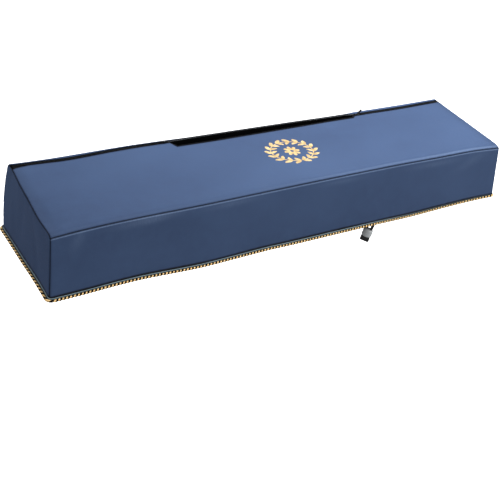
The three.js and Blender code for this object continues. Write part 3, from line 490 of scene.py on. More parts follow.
def plain_cloth(name, low, high, scale, rough, depth, gloss=0.5, stretch=(1, 1, 1), with_painted_shade=False, **sockets):
    n = material_nodes(name)
    tone = n.noise(scale * 0.08, 3.0)
    grain = n.noise(scale, 2.0, stretch)
    base = n.mix(n.between(tone, 0.3, 0.7, 0.0, 0.6), rgb(*low), rgb(*high))
    base = n.mix(n.between(grain, 0.35, 0.7, 0.0, 0.4), base, rgb(*low))
    if with_painted_shade:
        # Painted shade: near black where the points' seam mark is set
        base = n.mix(n.mark("seam"), base, rgb(4, 6, 10))
    roughness = n.between(grain, 0.2, 0.8, rough - 0.08, rough + 0.08)
    return n.finish(base, roughness, Normal=n.bump(grain, 0.5, depth), Specular_IOR_Level=gloss, **sockets)


VELVET_TOP = velvet("velvet_top", True)
VELVET = velvet("velvet_walls")
# The lining's own near-black colour, chosen also to stand in for the shade inside the cover seen through the
# opening: partly painted shade
LINING = plain_cloth("lining", (3, 3, 4), (6, 7, 9), 1500.0, 0.95, 0.0003, 0.05)
TAPE_CLOTH = plain_cloth("zip_tape_weave", (5, 6, 8), (13, 14, 18), 1400.0, 0.85, 0.0004, 0.1, (1, 0.25, 1))
COIL_NYLON = plain_cloth("zip_coil_nylon", (8, 9, 11), (20, 22, 26), 500.0, 0.6, 0.0001, 0.15)
# A lighter copy of the black nylon: painted highlight, for the light caught along the rear row of teeth in
# the opening
COIL_PAINTED_HIGHLIGHT = plain_cloth("zip_coil_painted_highlight", (44, 47, 52), (84, 88, 94), 500.0, 0.3, 0.0001)
SLIDER_PAINT = plain_cloth("slider_metal", (16, 17, 19), (38, 40, 44), 300.0, 0.36, 0.0001, Metallic=0.6)
BINDING_WEAVE = plain_cloth("binding_weave", (104, 122, 130), (132, 150, 158), 1100.0, 0.55, 0.0003, 0.1,
                            (0.4, 1, 1), True)
GOLD_YARN = plain_cloth("rope_gold", (240, 198, 130), (254, 228, 170), 900.0, 0.4, 0.0003, Metallic=0.35,
                        Sheen_Weight=0.3, Sheen_Roughness=0.4)
DARK_YARN = plain_cloth("rope_dark", (5, 4, 3), (15, 11, 8), 900.0, 0.8, 0.0003, 0.1)
ELASTIC = plain_cloth("elastic_braid", (10, 11, 12), (28, 29, 32), 900.0, 0.7, 0.0005)
LOCK_GREY = plain_cloth("lock_plastic", (156, 160, 162), (192, 196, 198), 120.0, 0.3, 0.0001,
                        Coat_Weight=0.6, Coat_Roughness=0.12)
CLIP_BLACK = plain_cloth("black_plastic", (12, 13, 14), (26, 27, 29), 260.0, 0.4, 0.0001)


# The photograph's camera

FOCAL, SENSOR = 64.39, 36
CAMERA_PLACE = (-1.2229, -1.6835, 1.1847 - TOP_HEIGHT / 1000)
AZIMUTH, ELEVATION, ROLL = math.radians(34.916), math.radians(32.454), math.radians(7.40)
lens = bpy.data.cameras.new("camera")
lens.lens, lens.sensor_width, lens.clip_start, lens.clip_end = FOCAL, SENSOR, 0.05, 40
camera = in_scene("camera", lens)
camera.matrix_world = (
    Matrix.Translation(CAMERA_PLACE) @ Matrix.Rotation(-AZIMUTH, 4, "Z")
    @ Matrix.Rotation(math.pi / 2 - ELEVATION, 4, "X") @ Matrix.Rotation(ROLL, 4, "Z"))
bpy.context.scene.camera = camera


# The drawcord

LOCK = np.array((229.5, -143, -42))
LEAN, LOCK_TURN = math.radians(10), math.radians(-48)
LOCK_HALF, CLIP_TOP, SOCKET, CORD, CORD_SPACING, CORD_EASE = 12.25, -12.55, 6.5, 8.2, 6.8, 15
CORD_EXITS, EXIT_LIFT = (216, 246), 3
# Half width, half depth and rounding of the barrel and the clip, the clip's height, how square it is, and the
# barrel's groove and ridge: height, half height, half width, share
BARREL, CLIP, CLIP_HEIGHT, CLIP_POWER = (14, 11, 6), (12.75, 7.25, 3), 14, 0.3
GROOVES = [(2.6, 1.0, 5, -0.12), (0.4, 1.1, 6, 0.07)]
LOCK_SIDES = 48
lock_axes = Matrix.Rotation(LOCK_TURN, 3, "Z") @ Matrix.Rotation(LEAN, 3, "Y")


def in_lock(aside, up):
    return np.array(lock_axes @ Vector((aside, 0, up))) + LOCK


def make_cord(name, x, side):
    """A limp cord that falls from inside the hem into the lock, and goes on straight into the clip."""
    aside = side * CORD_SPACING
    start = np.array((x, front_y(HEM_FOLD) + HEM_CLOTH + CORD / 2 + GAP, HEM_FOLD / 2 + EXIT_LIFT))
    bends = [start, start - (0, 0, CORD_EASE)] + [in_lock(aside, LOCK_HALF + up) for up in (CORD_EASE, 0)]
    t = np.linspace(0, 1, 7)[:, None]
    fall = sum(times * (1 - t) ** (3 - k) * t ** k * bends[k] for k, times in enumerate((1, 3, 3, 1)))
    knots = np.array([*fall, *(in_lock(aside, up) for up in (0, CLIP_TOP, CLIP_TOP - SOCKET + GAP))])
    lengths = run(knots)
    at = np.linspace(0, lengths[-1], 40)
    points = np.stack([smooth(np.c_[lengths, column])(at) for column in knots.T], -1)
    points = (points - (0, 0, TOP_HEIGHT)) / 1000
    curve = bpy.data.curves.new(name, "CURVE")
    curve.dimensions = "3D"
    curve.bevel_depth = CORD / 2000
    curve.bevel_resolution = 4
    curve.use_fill_caps = True
    line = curve.splines.new("POLY")
    line.points.add(len(points) - 1)
    line.points.foreach_set("co", np.c_[points, np.ones(len(points))].ravel())
    line.use_smooth = True
    curve.materials.append(ELASTIC)
    cord = in_scene(name, curve)
    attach(cord, "root")
    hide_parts(name)
    return cord, points[0].tolist(), float(run(points)[-1])


def lock_piece(name, node, levels, material, power=1.0, grooves=()):
    """A closed piece in the lock's axes: levels are (height, half width, half depth)."""
    c, s = circle(LOCK_SIDES)
    levels = np.array(levels, float)
    x = levels[:, 1:2] * np.sign(c) * np.abs(c) ** power
    y = levels[:, 2:3] * np.sign(s) * np.abs(s) ** power
    z = levels[:, :1] * np.ones_like(x)
    swollen = 1 + sum(height * np.exp(-((z - z0) / high) ** 2 - (x / wide) ** 2) * (y < 0)
                      for z0, high, wide, height in grooves)
    places = stack(x * swollen, y * swollen, z) @ np.array(lock_axes).T + LOCK
    tube_object(name, places[None], material, node)


def rounded_levels(top, foot, half_width, half_depth, edge, arc_steps=6, side_steps=8):
    """Levels of a piece whose upper and lower edges are rounded."""
    turn = np.linspace(0, math.pi / 2, arc_steps)
    upper = [(top - edge * (1 - math.cos(t)), edge * (1 - math.sin(t))) for t in turn]
    lower = [(foot + top - z, inset) for z, inset in upper[::-1]]
    between = [(z, 0) for z in np.linspace(upper[-1][0], lower[0][0], side_steps)[1:-1]]
    return [(z, half_width - inset, half_depth - inset) for z, inset in upper + between + lower]


lock_piece("lock_barrel", "cord_lock",
           rounded_levels(LOCK_HALF, -LOCK_HALF, *BARREL, 8, 22), LOCK_GREY, grooves=GROOVES)
lock_piece("lock_end_clip", "cord_end_clip",
           rounded_levels(CLIP_TOP, CLIP_TOP - CLIP_HEIGHT, *CLIP), CLIP_BLACK, CLIP_POWER)

for x, name, side in zip(CORD_EXITS, ("drawcord_left", "drawcord_right"), (-1, 1)):
    cord, start, length = make_cord(name, x, side)
    cord.name = "elastic_" + name

for name in ("zip_slider_left", "zip_slider_right", "zip_pull_left", "zip_pull_right"):
    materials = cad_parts[name].data.materials
    materials.clear()
    materials.append(SLIDER_PAINT)


# Soft relief of the cloth

def waves(along, seed, lengths, weights):
    """Uneven waves: sines of unlike lengths, with phases from the seed."""
    phases = np.random.default_rng(seed).uniform(0, 2 * math.pi, len(lengths))
    return sum(w * np.sin(2 * math.pi * along / wl + ph) for wl, w, ph in zip(lengths, weights, phases))


def puckers(seed, *seams):
    """Small gathers across seams, deepest beside them: seams are (along, distance, depth, reach)."""
    total = 0
    for k, (along, distance, depth, reach) in enumerate(seams, seed):
        shape = waves(along, k, (13, 19, 31, 53), (0.35, 0.5, 0.6, 0.4))
        uneven = 0.6 + 0.4 * waves(along, k + 1, (90, 170), (0.6, 0.4))
        total = total + depth * shape * uneven * np.exp(-(np.maximum(distance, 0) / reach) ** 1.5)
    return total


def troughs(u, v, table):
    """Troughs and ridges, given one by one: middle u, v, half length, half width, direction, height."""
    total = 0
    for u0, v0, long, wide, angle, height in table:
        c, s = math.cos(math.radians(angle)), math.sin(math.radians(angle))
        a = ((u - u0) * c + (v - v0) * s) / long
        b = ((v - v0) * c - (u - u0) * s) / wide
        total = total + height * np.exp(-(a * a) - b * b)
    return total


def tuck(distance, other):
    """How deep a sewn edge turns in, less where two seams meet at a corner."""
    past = np.clip(TUCK - distance, 0, TUCK)
    turned = TUCK - np.sqrt(np.maximum(TUCK * TUCK - past * past, 0))
    return turned * np.clip(other / CORNER_EASE, 0.1, 1)


# Grids

SEAM_INSETS = [0.2, 0.45, 0.9, 1.7, 2.9, 4.4, 6.5, 9.5, 13.5]
SEAM_TOP = float(seam_x(REAR_HEIGHT))
LEAN_FROM, LEAN_FULL = 600, 648


def even(places, step):
    """The sorted places with even steps of about that size between them."""
    places = sorted(set(places))
    out = [places[0]]
    for a, b in zip(places, places[1:]):
        out += np.linspace(a, b, max(1, round((b - a) / step)) + 1)[1:].tolist()
    return np.array(out)


table_places = [row[0] for row in OPENING_EDGE + LEFT_SPREAD[1:] + REAR_STRIP]
last_inset = SEAM_TOP - SEAM_INSETS[-1]
inner = even([x for x in table_places if abs(x) < last_inset - 3] + [-last_inset, last_inset], STEP)
column_x = np.concatenate([[d - SEAM_TOP for d in SEAM_INSETS[:-1]], inner,
                           [SEAM_TOP - d for d in SEAM_INSETS[-2::-1]]])
column_lean = np.clip((np.abs(column_x) - LEAN_FROM) / (LEAN_FULL - LEAN_FROM), 0, 1)
to_ends = SEAM_TOP - np.abs(column_x)


def column_at(z):
    """x of every column at the heights z."""
    return column_x + np.sign(column_x) * column_lean * (seam_x(z) - SEAM_TOP)


# Where the added edges of a grid go: the axis, and 0 before it or -1 behind it
SIDES = {"left": (1, 0), "right": (1, -1), "first": (0, 0), "last": (0, -1)}
RELIEF_EASE, LEAST_ALLOWANCE = 3, 0.15
HEM_THICK, SEAM_THICK, FOLD_EDGE = 2.4, 0.8, 1.5
# How much painted shade the hem's foot gets, and how far up it reaches
FOOT_PAINTED_SHADE, FOOT_SHADE_REACH = 1.4, 3.4


def widened(grid, sides, further):
    """The grid with one more edge at each of the sides, made from the edge that is there."""
    for side in sides:
        axis, end = SIDES[side]
        edge = further(grid.take([end], axis))
        grid = np.concatenate([grid, edge] if end else [edge, grid], axis)
    return grid


def filled(values, sides, value):
    """The values of a grid, with one value all along the added edges."""
    return widened(values, sides, lambda edge: np.full_like(edge, value))


def panel(name, node, grid, sides, relief, distances, painted_shade, painted_highlight, above_hem=DEPTH, foot=1, cloth=VELVET):
    """A panel with its relief, a tuck at each sewn side and the allowance beyond it.

    distances are those to two seams, and foot stretches the painted shade along the hem's foot."""
    nearest, other = np.minimum(*distances), np.maximum(*distances)
    normals = outward_normals(grid)
    grid = grid + normals * (relief * np.clip(nearest / RELIEF_EASE, 0, 1) - tuck(nearest, other))[..., None]
    allowance = ALLOWANCE * np.clip(other / CORNER_ALLOWANCE, LEAST_ALLOWANCE, 1) * np.ones(relief.shape)
    sewn = widened(np.concatenate([grid, normals * allowance[..., None]], -1), sides,
                   lambda edge: np.concatenate([edge[..., :3] - edge[..., 3:], edge[..., 3:]], -1))[..., :3]
    thick = np.where(above_hem < (HEM_FOLD - FOLD_EDGE) * np.ones(relief.shape), HEM_THICK, CLOTH)
    # Painted shade along the foot of the hem, for the shade under the hem's lower edge and in the gap above
    # the ribbon
    painted_shade = np.maximum(painted_shade, np.clip(FOOT_PAINTED_SHADE - above_hem / foot / FOOT_SHADE_REACH, 0, 1))
    return cloth_sheet(name, node, sewn, filled(thick, sides, SEAM_THICK), [cloth, LINING],
                       {"seam": filled(painted_shade, sides, 1), "painted_highlight": filled(painted_highlight, sides, 0)})


def fade(distance, reach, most=1.0):
    """A mark of painted shade that is full at an edge and gone at its reach."""
    return most * np.clip(1.15 * (1 - distance / reach), 0, 1)


# Front panel
HEM_ROWS = [0, 0.8, 2.2, 5, 8, 10.5, 12, 13]
# Patches of painted highlight on the front, for light on its soft bulges: middle x, z, half length, half
# width, direction, strength
PAINTED_HIGHLIGHT_PATCHES = [(-430, 139, 70, 9, 2, 0.22), (-215, 138, 60, 7, 1, 0.14), (110, 138, 60, 6, 0, 0.1),
          (-600, 128, 30, 12, 60, 0.1), (420, 134, 80, 8, -1, 0.12), (560, 120, 50, 14, 20, 0.08)]
front_rise, front_out = hem_curves(FRONT_HEM)
hem_x, top_edge_x = column_at(0), column_at(FRONT_HEIGHT)


def front_points(x, z):
    seam = front_seam(x)[1]
    inset = edge_drop(seam - z, EDGE_ROLL) + edge_drop(from_seam(x, z), corner_roll(z))
    return stack(x, front_y(z) + inset - front_out(x) * (1 - z / seam) ** 2, z)


seam_y, seam_z = front_seam(top_edge_x)
front_rows = [front_rise(hem_x) + h for h in HEM_ROWS]
lowest, highest = front_rise(top_edge_x) + HEM_FOLD, seam_z - SEAM_INSETS[-1]
front_rows += [lerp(lowest, highest, s) for s in np.linspace(0, 1, 25)]
front_rows += [seam_z - d for d in SEAM_INSETS[-2::-1]]
front_grid = np.array([front_points(column_at(z), z) for z in front_rows])
x, y, z = np.moveaxis(front_grid, -1, 0)
below = front_seam(x)[1] - z
above_hem = z - front_rise(x)
relief = (
    puckers(11, (x, below, 0.35, 11), (z, to_ends, 0.4, 12), (x, above_hem, 0.4, 15))
    + 0.8 * waves(x + 0.35 * z, 14, (150, 230, 410), (0.4, 0.5, 0.5)) * np.clip(below / 40, 0, 1)
)
# Painted highlight: a thin line just below the front seam, where the rolled edge catches light, and the
# patches; painted shade along the front seam and the end seams
painted_highlight = 0.65 * np.exp(-((below - 3.1) / 0.9) ** 2) + troughs(x, z, PAINTED_HIGHLIGHT_PATCHES)
front = panel("front_cloth", "front_panel", front_grid, ("left", "right", "last"), relief, (below, to_ends),
              np.maximum(fade(below, 1.9), fade(to_ends, 1.6)), painted_highlight, above_hem)

# Top panel
def top_edge(x):
    closed = zip_line(x) - ZIP_HALF
    closed = np.where(x < LEFT_SPREAD[-1][0], np.minimum(closed, left_spread(x)), closed)
    return np.where(spans(OPENING_EDGE, x), opening_edge(x), closed)


FRONT_STEPS = SEAM_INSETS[:7] + [9, 12]
TOP_CREASES = [
    (-648, -70, 75, 14, 90, -1.3), (-640, -118, 20, 9, 40, -1.2), (-630, -128, 22, 7, 20, 0.8),
    (-300, 20, 150, 60, 5, -0.8), (250, -60, 160, 50, -4, -0.7), (560, 30, 90, 40, 12, -0.8),
    (420, 60, 90, 30, 30, 0.6), (645, -110, 16, 9, -40, -0.9), (-470, 70, 100, 30, -8, 0.6),
]
rolled_width = roll_width(FRONT_ROLL)
edge_y = top_edge(top_edge_x)
top_ys = [seam_y + d for d in FRONT_STEPS]
top_ys += [lerp(seam_y + rolled_width, edge_y, s) for s in np.linspace(0, 1, 56)[:-1]]
top_ys = np.array(top_ys + [edge_y - d for d in (1.6, 0.6, 0.0)])
top_x = column_at(flat_top(top_edge_x, top_ys) - roll_depth(EDGE_ROLL))
behind, to_zip = top_ys - seam_y, edge_y - top_ys
relief = (
    puckers(21, (top_ys, to_ends, 0.55, 13), (top_x, behind, 0.3, 12), (top_x, to_zip, 0.25, 12))
    + 0.5 * waves(top_x + 0.5 * top_ys, 24, (210, 330, 520), (0.4, 0.5, 0.4))
    + troughs(top_x, top_ys, TOP_CREASES)
)
# Painted shade along the front seam and the end seams, broad and faint near the ends, and at the zip's edges;
# painted highlight along the rolled front edge, stronger towards the right where the light is
painted_shades = fade(behind, 1.9), fade(to_ends, 2.4), fade(to_ends, 30, 0.22), fade(to_zip, 3, 0.9)
painted_highlight = 0.25 * np.exp(-((behind - 5) / 2.5) ** 2) * np.clip(0.5 + top_x / 500, 0.2, 1.5)
top = panel("top_cloth", "top_panel", top_point(top_x, top_ys), ("left", "right", "first"),
            relief * np.clip(to_zip / 12, 0.15, 1), (behind, to_ends), reduce(np.maximum, painted_shades), painted_highlight,
            cloth=VELVET_TOP)

# Back panel
def back_edge(x):
    return np.where(spans(REAR_STRIP, x), rear_strip(x), zip_line(x) + ZIP_HALF)


ROLL_ROWS = 13
rear_rise, rear_out = hem_curves(REAR_HEM)
_, _, wall_start, middle_z = rear_curve(hem_x, 0)
back_zs = [rear_rise(hem_x) + h for h in HEM_ROWS]
back_zs += [lerp(rear_rise(hem_x) + HEM_FOLD, middle_z, s) for s in np.linspace(0, 1, 34)[:-1]]
back_rows = []
for z in back_zs:
    x = column_at(z)
    place, _, _, middle = rear_curve(x, wall_start + middle_z - z)
    place[..., 1] += rear_out(x) * (1 - z / middle) ** 2
    back_rows.append(place)
guess = column_at(REAR_HEIGHT)
wall_start = rear_curve(guess, 0)[2]
end_reach = reach_at(guess, back_edge(guess))
back_rows += [leaning(guess, lerp(wall_start, end_reach, s), column_at) for s in np.linspace(0, 1, ROLL_ROWS)]
back_grid = np.array(back_rows)
x, y, z = np.moveaxis(back_grid, -1, 0)
above_hem = z - rear_rise(x)
relief = (
    puckers(31, (z, to_ends, 0.4, 12), (x, above_hem, 0.4, 15))
    + 0.9 * waves(x + 0.3 * z, 33, (140, 250, 390), (0.4, 0.5, 0.5)) * np.clip((150 - z) / 60, 0, 1)
)
from_zip = DEPTH * np.ones(z.shape)
from_zip[-ROLL_ROWS:] = np.linspace(1, 0, ROLL_ROWS)[:, None] * (wall_start - end_reach)
# Painted shade on the rear strip beside the zip, broader on its left part, where the strip faces away from
# the light; also along the end seams
zip_painted_shade = np.maximum(fade(from_zip, 2.5, 0.9), fade(from_zip, 26, 0.25) * np.clip((-150 - x) / 100, 0, 1))
back = panel("back_cloth", "back_panel", back_grid, ("left", "right"), relief, (to_ends, DEPTH),
             np.maximum(fade(to_ends, 2), zip_painted_shade), np.zeros(z.shape), above_hem)


# End panels
def by_share(points):
    """A line's points by the share of its length."""
    lengths = run(points)
    return lambda share: on_line(share, lengths / lengths[-1], points)


def end_seams(side):
    """The three seams of an end, from its foot at the front over the top and down the rear."""
    shares = np.linspace(0, 1, 81)
    hem_edge = side * seam_x(0)
    zs = lerp(front_rise(hem_edge), front_seam(side * seam_x(FRONT_HEIGHT))[1], shares)
    front_part = front_points(side * seam_x(zs), zs)
    edge = side * SEAM_TOP
    _, _, start, middle = rear_curve(edge, 0)
    half = start / 2
    ys = FRONT_SEAM + np.linspace(0, 1, 9)[1:] * rolled_width
    roll_part = top_point(side * seam_x(flat_top(edge, ys) - roll_depth(EDGE_ROLL)), ys)
    flat_reach = lerp(-(ROLL_MIDDLE - FRONT_SEAM - rolled_width), half, shares[1:])
    wall_reach = half + (1 - shares) * (half + middle - rear_rise(hem_edge))
    back_part, rear_part = (
        leaning(edge, reach, lambda z: side * seam_x(z)) for reach in (flat_reach, wall_reach))
    over_part = np.vstack([front_part[-1:], roll_part, back_part])
    return [by_share(part) for part in (front_part, over_part, rear_part)]


def swell(distance, radius):
    return 1 - edge_drop(distance, radius) / roll_depth(radius)


def end_shares(rows, length, steps):
    """Shares of a length: at the rows, then in even steps, and at the insets from its far end."""
    first, insets = np.array(rows) / length, np.array(SEAM_INSETS) / length
    return np.concatenate([first[:-1], np.linspace(first[-1], 1 - insets[-1], steps), 1 - insets[-2::-1]])


# How far the painted shade of an end's hem foot is stretched
END_SHADE_STRETCH = 1.8


def end_panel(name, node, side, hem_table, seed, creases):
    front_edge, over_edge, rear_edge = end_seams(side)
    rise, out = hem_curves(hem_table)
    across = end_shares(SEAM_INSETS, DEPTH, 64)
    u, v = np.meshgrid(across, end_shares(HEM_ROWS + [HEM_FOLD], FRONT_HEIGHT, 28))
    to_sides, to_top, to_hem = np.minimum(u, 1 - u) * DEPTH, (1 - v) * FRONT_HEIGHT, v * FRONT_HEIGHT
    start, end = front_edge(0.0), rear_edge(0.0)

    def hem_points(u):
        place = start + (end - start) * u[..., None]
        ends = lerp(rise(start[1]), rise(end[1]), u)
        place[..., 2] += rise(place[..., 1]) - ends
        return place

    u3, v3 = u[..., None], v[..., None]
    grid = (
        hem_points(u) * (1 - v3) + over_edge(u) * v3 + front_edge(v) * (1 - u3) + rear_edge(v) * u3
        - start * (1 - u3) * (1 - v3) - end * u3 * (1 - v3)
        - over_edge(0.0) * (1 - u3) * v3 - over_edge(1.0) * u3 * v3
    )
    radius = corner_roll(grid[..., 2])
    edges = swell(u * DEPTH, radius) * swell((1 - u) * DEPTH, radius)
    y, z = grid[..., 1], grid[..., 2]
    bulge = roll_depth(radius) * edges * swell(to_top, EDGE_ROLL)
    grid[..., 0] += side * (bulge + out(y) * (1 - v) ** 2 * edges)
    gathers = puckers(seed, (y, to_top, 0.4, 12), (z, to_sides, 0.4, 11), (y, to_hem, 0.35, 14))
    # Painted shade along the end's seams and along its hem's foot
    piece = panel(name, node, grid, ("left", "right", "last"), gathers + troughs(y, z, creases),
                  (to_sides, to_top), np.maximum(fade(to_sides, 1.6), fade(to_top, 2.4)), np.zeros(u.shape),
                  to_hem, END_SHADE_STRETCH)
    return piece, hem_points(across)


BUNDLE, BUNDLE_IN, BUNDLE_FOOT, BUNDLE_SIDES = 2.4, 3.5, 0.02, 6


def seam_bundle(name, side):
    """The cut edges inside an end's seam, bound in one."""
    shares = np.linspace(BUNDLE_FOOT, 1, 50), np.linspace(0, 1, 100)[1:], np.linspace(1, BUNDLE_FOOT, 58)[1:]
    points = np.vstack([part(s) for part, s in zip(end_seams(side), shares)])
    turns_in = np.repeat([(-side, 1.0, 0), (-side, 0, -1), (-side, -1, 0)], [len(s) for s in shares], 0)
    for _ in range(6):
        turns_in[1:-1] = (turns_in[:-2] + turns_in[1:-1] + turns_in[2:]) / 3
    middle = points + unit(turns_in) * BUNDLE_IN
    way = unit(np.gradient(middle, axis=0))
    first = unit(np.cross(way, (side, 0, 0)) + 1e-6)
    rings = rings_round(middle, first, np.cross(way, first), BUNDLE, BUNDLE_SIDES)
    tube_object(name, rings[None], LINING)


seam_bundle("seam_allowance_left", -1)
seam_bundle("seam_allowance_right", 1)

LEFT_CREASES = [(-70, 60, 70, 18, 70, -1.0), (30, 90, 60, 16, 100, -0.8), (100, 60, 60, 20, 85, 0.8)]
RIGHT_CREASES = [(-60, 80, 60, 18, 95, -1.0), (50, 70, 60, 18, 75, -0.8)]
left_end, left_hem_line = end_panel("left_end_cloth", "left_end_panel", -1, LEFT_HEM, 41, LEFT_CREASES)
right_end, right_hem_line = end_panel("right_end_cloth", "right_end_panel", 1, RIGHT_HEM, 51, RIGHT_CREASES)


# Hem trim

def hem_loop(step):
    """A closed line under the middle of the folded hem, its directions outwards and its length."""
    middles = []
    for line in (front_grid[0], right_hem_line, back_grid[0, ::-1], left_hem_line[::-1]):
        way = unit(np.gradient(line, axis=0) * (1, 1, 0))
        out = np.cross(way, UP)
        if np.sum(out * line * (0.2, 1, 0)) < 0:
            out = -out
        middles.append((line - out * HEM_CLOTH / 2)[2:-2])
    closed = np.vstack([*middles, middles[0][:1]])
    lengths = run(closed)
    count = round(lengths[-1] / step)
    loop = smoothed(on_line(np.arange(count) / count * lengths[-1], lengths, closed), 2)
    out = unit(np.cross(onwards(loop), UP))
    return loop, -out if np.sum(out * loop) < 0 else out, float(lengths[-1])


def tucked_in(line):
    """How far the trim is drawn in under the cover: more towards the right."""
    return np.clip((line[:, 0] - TUCK_FROM) / TUCK_OVER, 0, 1)


# The ribbon's section on the long sides, on the ends and where it is tucked in: outwards from the hem's
# middle line and up from its foot. Then which of its points get painted shade, for the shade in the gaps
# above and below its pale stripe, and the painted shade on it towards the right: where that starts, over how
# far, and the most
RIBBON = [(2.1, 0.3), (2.4, -0.4), (2.85, -1.3), (2.9, -1.4), (3.85, -3.3), (3.9, -3.4), (5.9, -4.8),
          (5.4, -5.6), (3.2, -4.4)]
END_RIBBON = [(2.3, 0.5), (2.7, -0.2), (3.1, -0.8), (3.2, -0.9), (5.2, -2.6), (5.3, -2.7), (7.2, -4.8),
              (6.6, -5.6), (3.6, -3.6)]
TUCKED_RIBBON = [(1.9, 0.5), (2.1, -0.1), (2.3, -0.7), (2.35, -0.8), (2.7, -1.7), (2.75, -1.8), (3.6, -3.4),
                 (3.2, -4.0), (2.0, -3.0)]
RIBBON_ROOT, RIBBON_INSIDE = (1.5, 1.2), [(0.2, 0.8), (0.5, 1.2)]
RIBBON_PAINTED_SHADE = np.array((1, 1, 1, 1, 0, 0, 1, 1, 1, 1, 1, 1))
RIBBON_SHADE = (230, 200, 0.5)
# The rope's middle line, on the long sides and on the ends, then freely hung and tucked in, and its winding
ROPE_OUT, ROPE_TUCKED, ROPE_MIDDLE, ROPE_STEP = (8.2, 9.4), (5.6, 4.2), (-5.4, -4.6), 0.95
TUCK_FROM, TUCK_OVER = 150, 400
LONG_PITCH, END_PITCH, LOOSE_PITCH, LOOSE_FROM = 9.1, 13.5, 12, 380
STRANDS, GOLD_STRANDS, STRAND_SIDES, CORE, CORE_SIDES, CORE_EVERY = 6, 3, 6, 1.9, 8, 4
STRAND_PLACE, GOLD_RADIUS, DARK_RADIUS = 2.25, (0.8, 1.1), (1.2, 0.92)

loop, out, loop_length = hem_loop(3.0)
long_section, end_section, tucked_section = (
    np.array([RIBBON_ROOT, *rows, *RIBBON_INSIDE]) for rows in (RIBBON, END_RIBBON, TUCKED_RIBBON))
section = lerp(long_section, end_section, out[:, :1, None] ** 2)
section = lerp(section, tucked_section, tucked_in(loop)[:, None, None])
rings = loop[:, None] + out[:, None] * section[..., :1] + UP * section[..., 1:]
# Painted shade on the ribbon: its flagged points, and more of it towards the right
shade_from, shade_over, most_shade = RIBBON_SHADE
shade = np.maximum(RIBBON_PAINTED_SHADE, most_shade * np.clip((loop[:, :1] - shade_from) / shade_over, 0, 1))
binding = tube_object("hem_ribbon", rings[None], BINDING_WEAVE, "hem_binding", closed=True)
mark(binding, "seam", shade)

count = round(loop_length / ROPE_STEP)
closed_loop = np.vstack([loop, loop[:1]])
rope_line = on_line(np.arange(count) / count * len(loop), np.arange(len(closed_loop)), closed_loop)
rope_line = smoothed(rope_line, 6)
along = onwards(rope_line)
rope_out = unit(np.cross(along, UP))
rope_out *= np.sign(np.sum(rope_out * rope_line))
loose = np.clip((rope_line[:, 0] - LOOSE_FROM) / (LENGTH / 2 - LOOSE_FROM), 0, 1)
wind = 1 / np.where(np.abs(along[:, 0]) > 0.7, lerp(LONG_PITCH, LOOSE_PITCH, loose), END_PITCH)
angle = 2 * math.pi * np.cumsum(wind) * round(np.sum(wind) * ROPE_STEP) / np.sum(wind)
on_ends, tucked = rope_out[:, 0] ** 2, tucked_in(rope_line)
rope_reach = lerp(lerp(*ROPE_OUT, on_ends), lerp(*ROPE_TUCKED, on_ends), tucked)
rope_middle = rope_line + rope_out * rope_reach[:, None]
rope_middle[:, 2] += lerp(*ROPE_MIDDLE, tucked)
uneven = waves(np.arange(count) * ROPE_STEP, 61, (47, 83, 151), (0.12, 0.12, 0.12))


def strand(start_angle, radii):
    """Rings round one strand of the rope, wound about the rope's middle."""
    turn = angle + start_angle + uneven
    offset = rope_out * np.cos(turn)[:, None] + UP * np.sin(turn)[:, None]
    middle = rope_middle + offset * STRAND_PLACE
    line = onwards(middle)
    first = unit(offset - line * np.sum(offset * line, -1, keepdims=True))
    radius = lerp(*radii, on_ends)[:, None, None]
    return rings_round(middle, first, np.cross(line, first), radius, STRAND_SIDES)


strand_angles = 2 * math.pi * np.arange(STRANDS) / STRANDS
gold_strands = np.array([strand(a, GOLD_RADIUS) for a in strand_angles[:GOLD_STRANDS]])
dark_strands = np.array([strand(a, DARK_RADIUS) for a in strand_angles[GOLD_STRANDS:]])
core_rings = rings_round(rope_middle[::CORE_EVERY], rope_out[::CORE_EVERY], UP, CORE, CORE_SIDES)
tube_object("rope_gold_strands", gold_strands, GOLD_YARN, "hem_rope", closed=True)
tube_object("rope_dark_strands", dark_strands, DARK_YARN, closed=True)
tube_object("rope_core", core_rings[None], DARK_YARN, closed=True)


# Zip

def lifted(x, reach, lift, sag=None):
    """Points over the rear section: lift is their height above it."""
    place, normal, _, _ = rear_curve(x, reach, sag)
    return place + normal * np.full(len(place), lift)[..., None]


def sideways(path):
    """Steps to the side at each point of a line that keep a strip's width round its corners."""
    seg = unit(np.diff(path, axis=0))
    turn = np.stack([-seg[:, 1], seg[:, 0]], -1)
    before, after = np.vstack([turn[:1], turn]), np.vstack([turn, turn[-1:]])
    middle = unit(before + after)
    return middle / np.maximum(0.5, np.sum(middle * after, -1, keepdims=True))


TAPE_ENDS = SEAM_TOP - 4
stations = even([x for x in table_places if abs(x) < TAPE_ENDS] + [-TAPE_ENDS, TAPE_ENDS], 6)
ACROSS_TAPE = np.linspace(0, 1, 7)


def tape(name, node, surface):
    """A tape whose rings lie on surface(share, lift), which gives points at the stations."""
    rings = [surface(s, TAPE_TOP) for s in ACROSS_TAPE] + [surface(s, TAPE_FOOT) for s in ACROSS_TAPE[::-1]]
    tube_object(name, np.stack(rings, 1)[None], TAPE_CLOTH, node)


path = np.stack([stations, top_edge(stations)], -1)
steps = sideways(path)
is_open = spans(OPENING_EDGE, stations)[:, None]
closed_shown = np.stack([stations, zip_line(stations) - ZIP_HALF + TAPE_SHOWS], -1)
shown = np.where(is_open, path + steps * TAPE_SHOWS, closed_shown)
sewn = np.where(is_open, path - steps * TAPE_UNDER, path - (0, TAPE_UNDER))
edge_reach = reach_at(stations, back_edge(stations))
rear_shown = np.where(spans(REAR_STRIP, stations), edge_reach - TAPE_SHOWS,
                      reach_at(stations, zip_line(stations) + ZIP_HALF - TAPE_SHOWS))


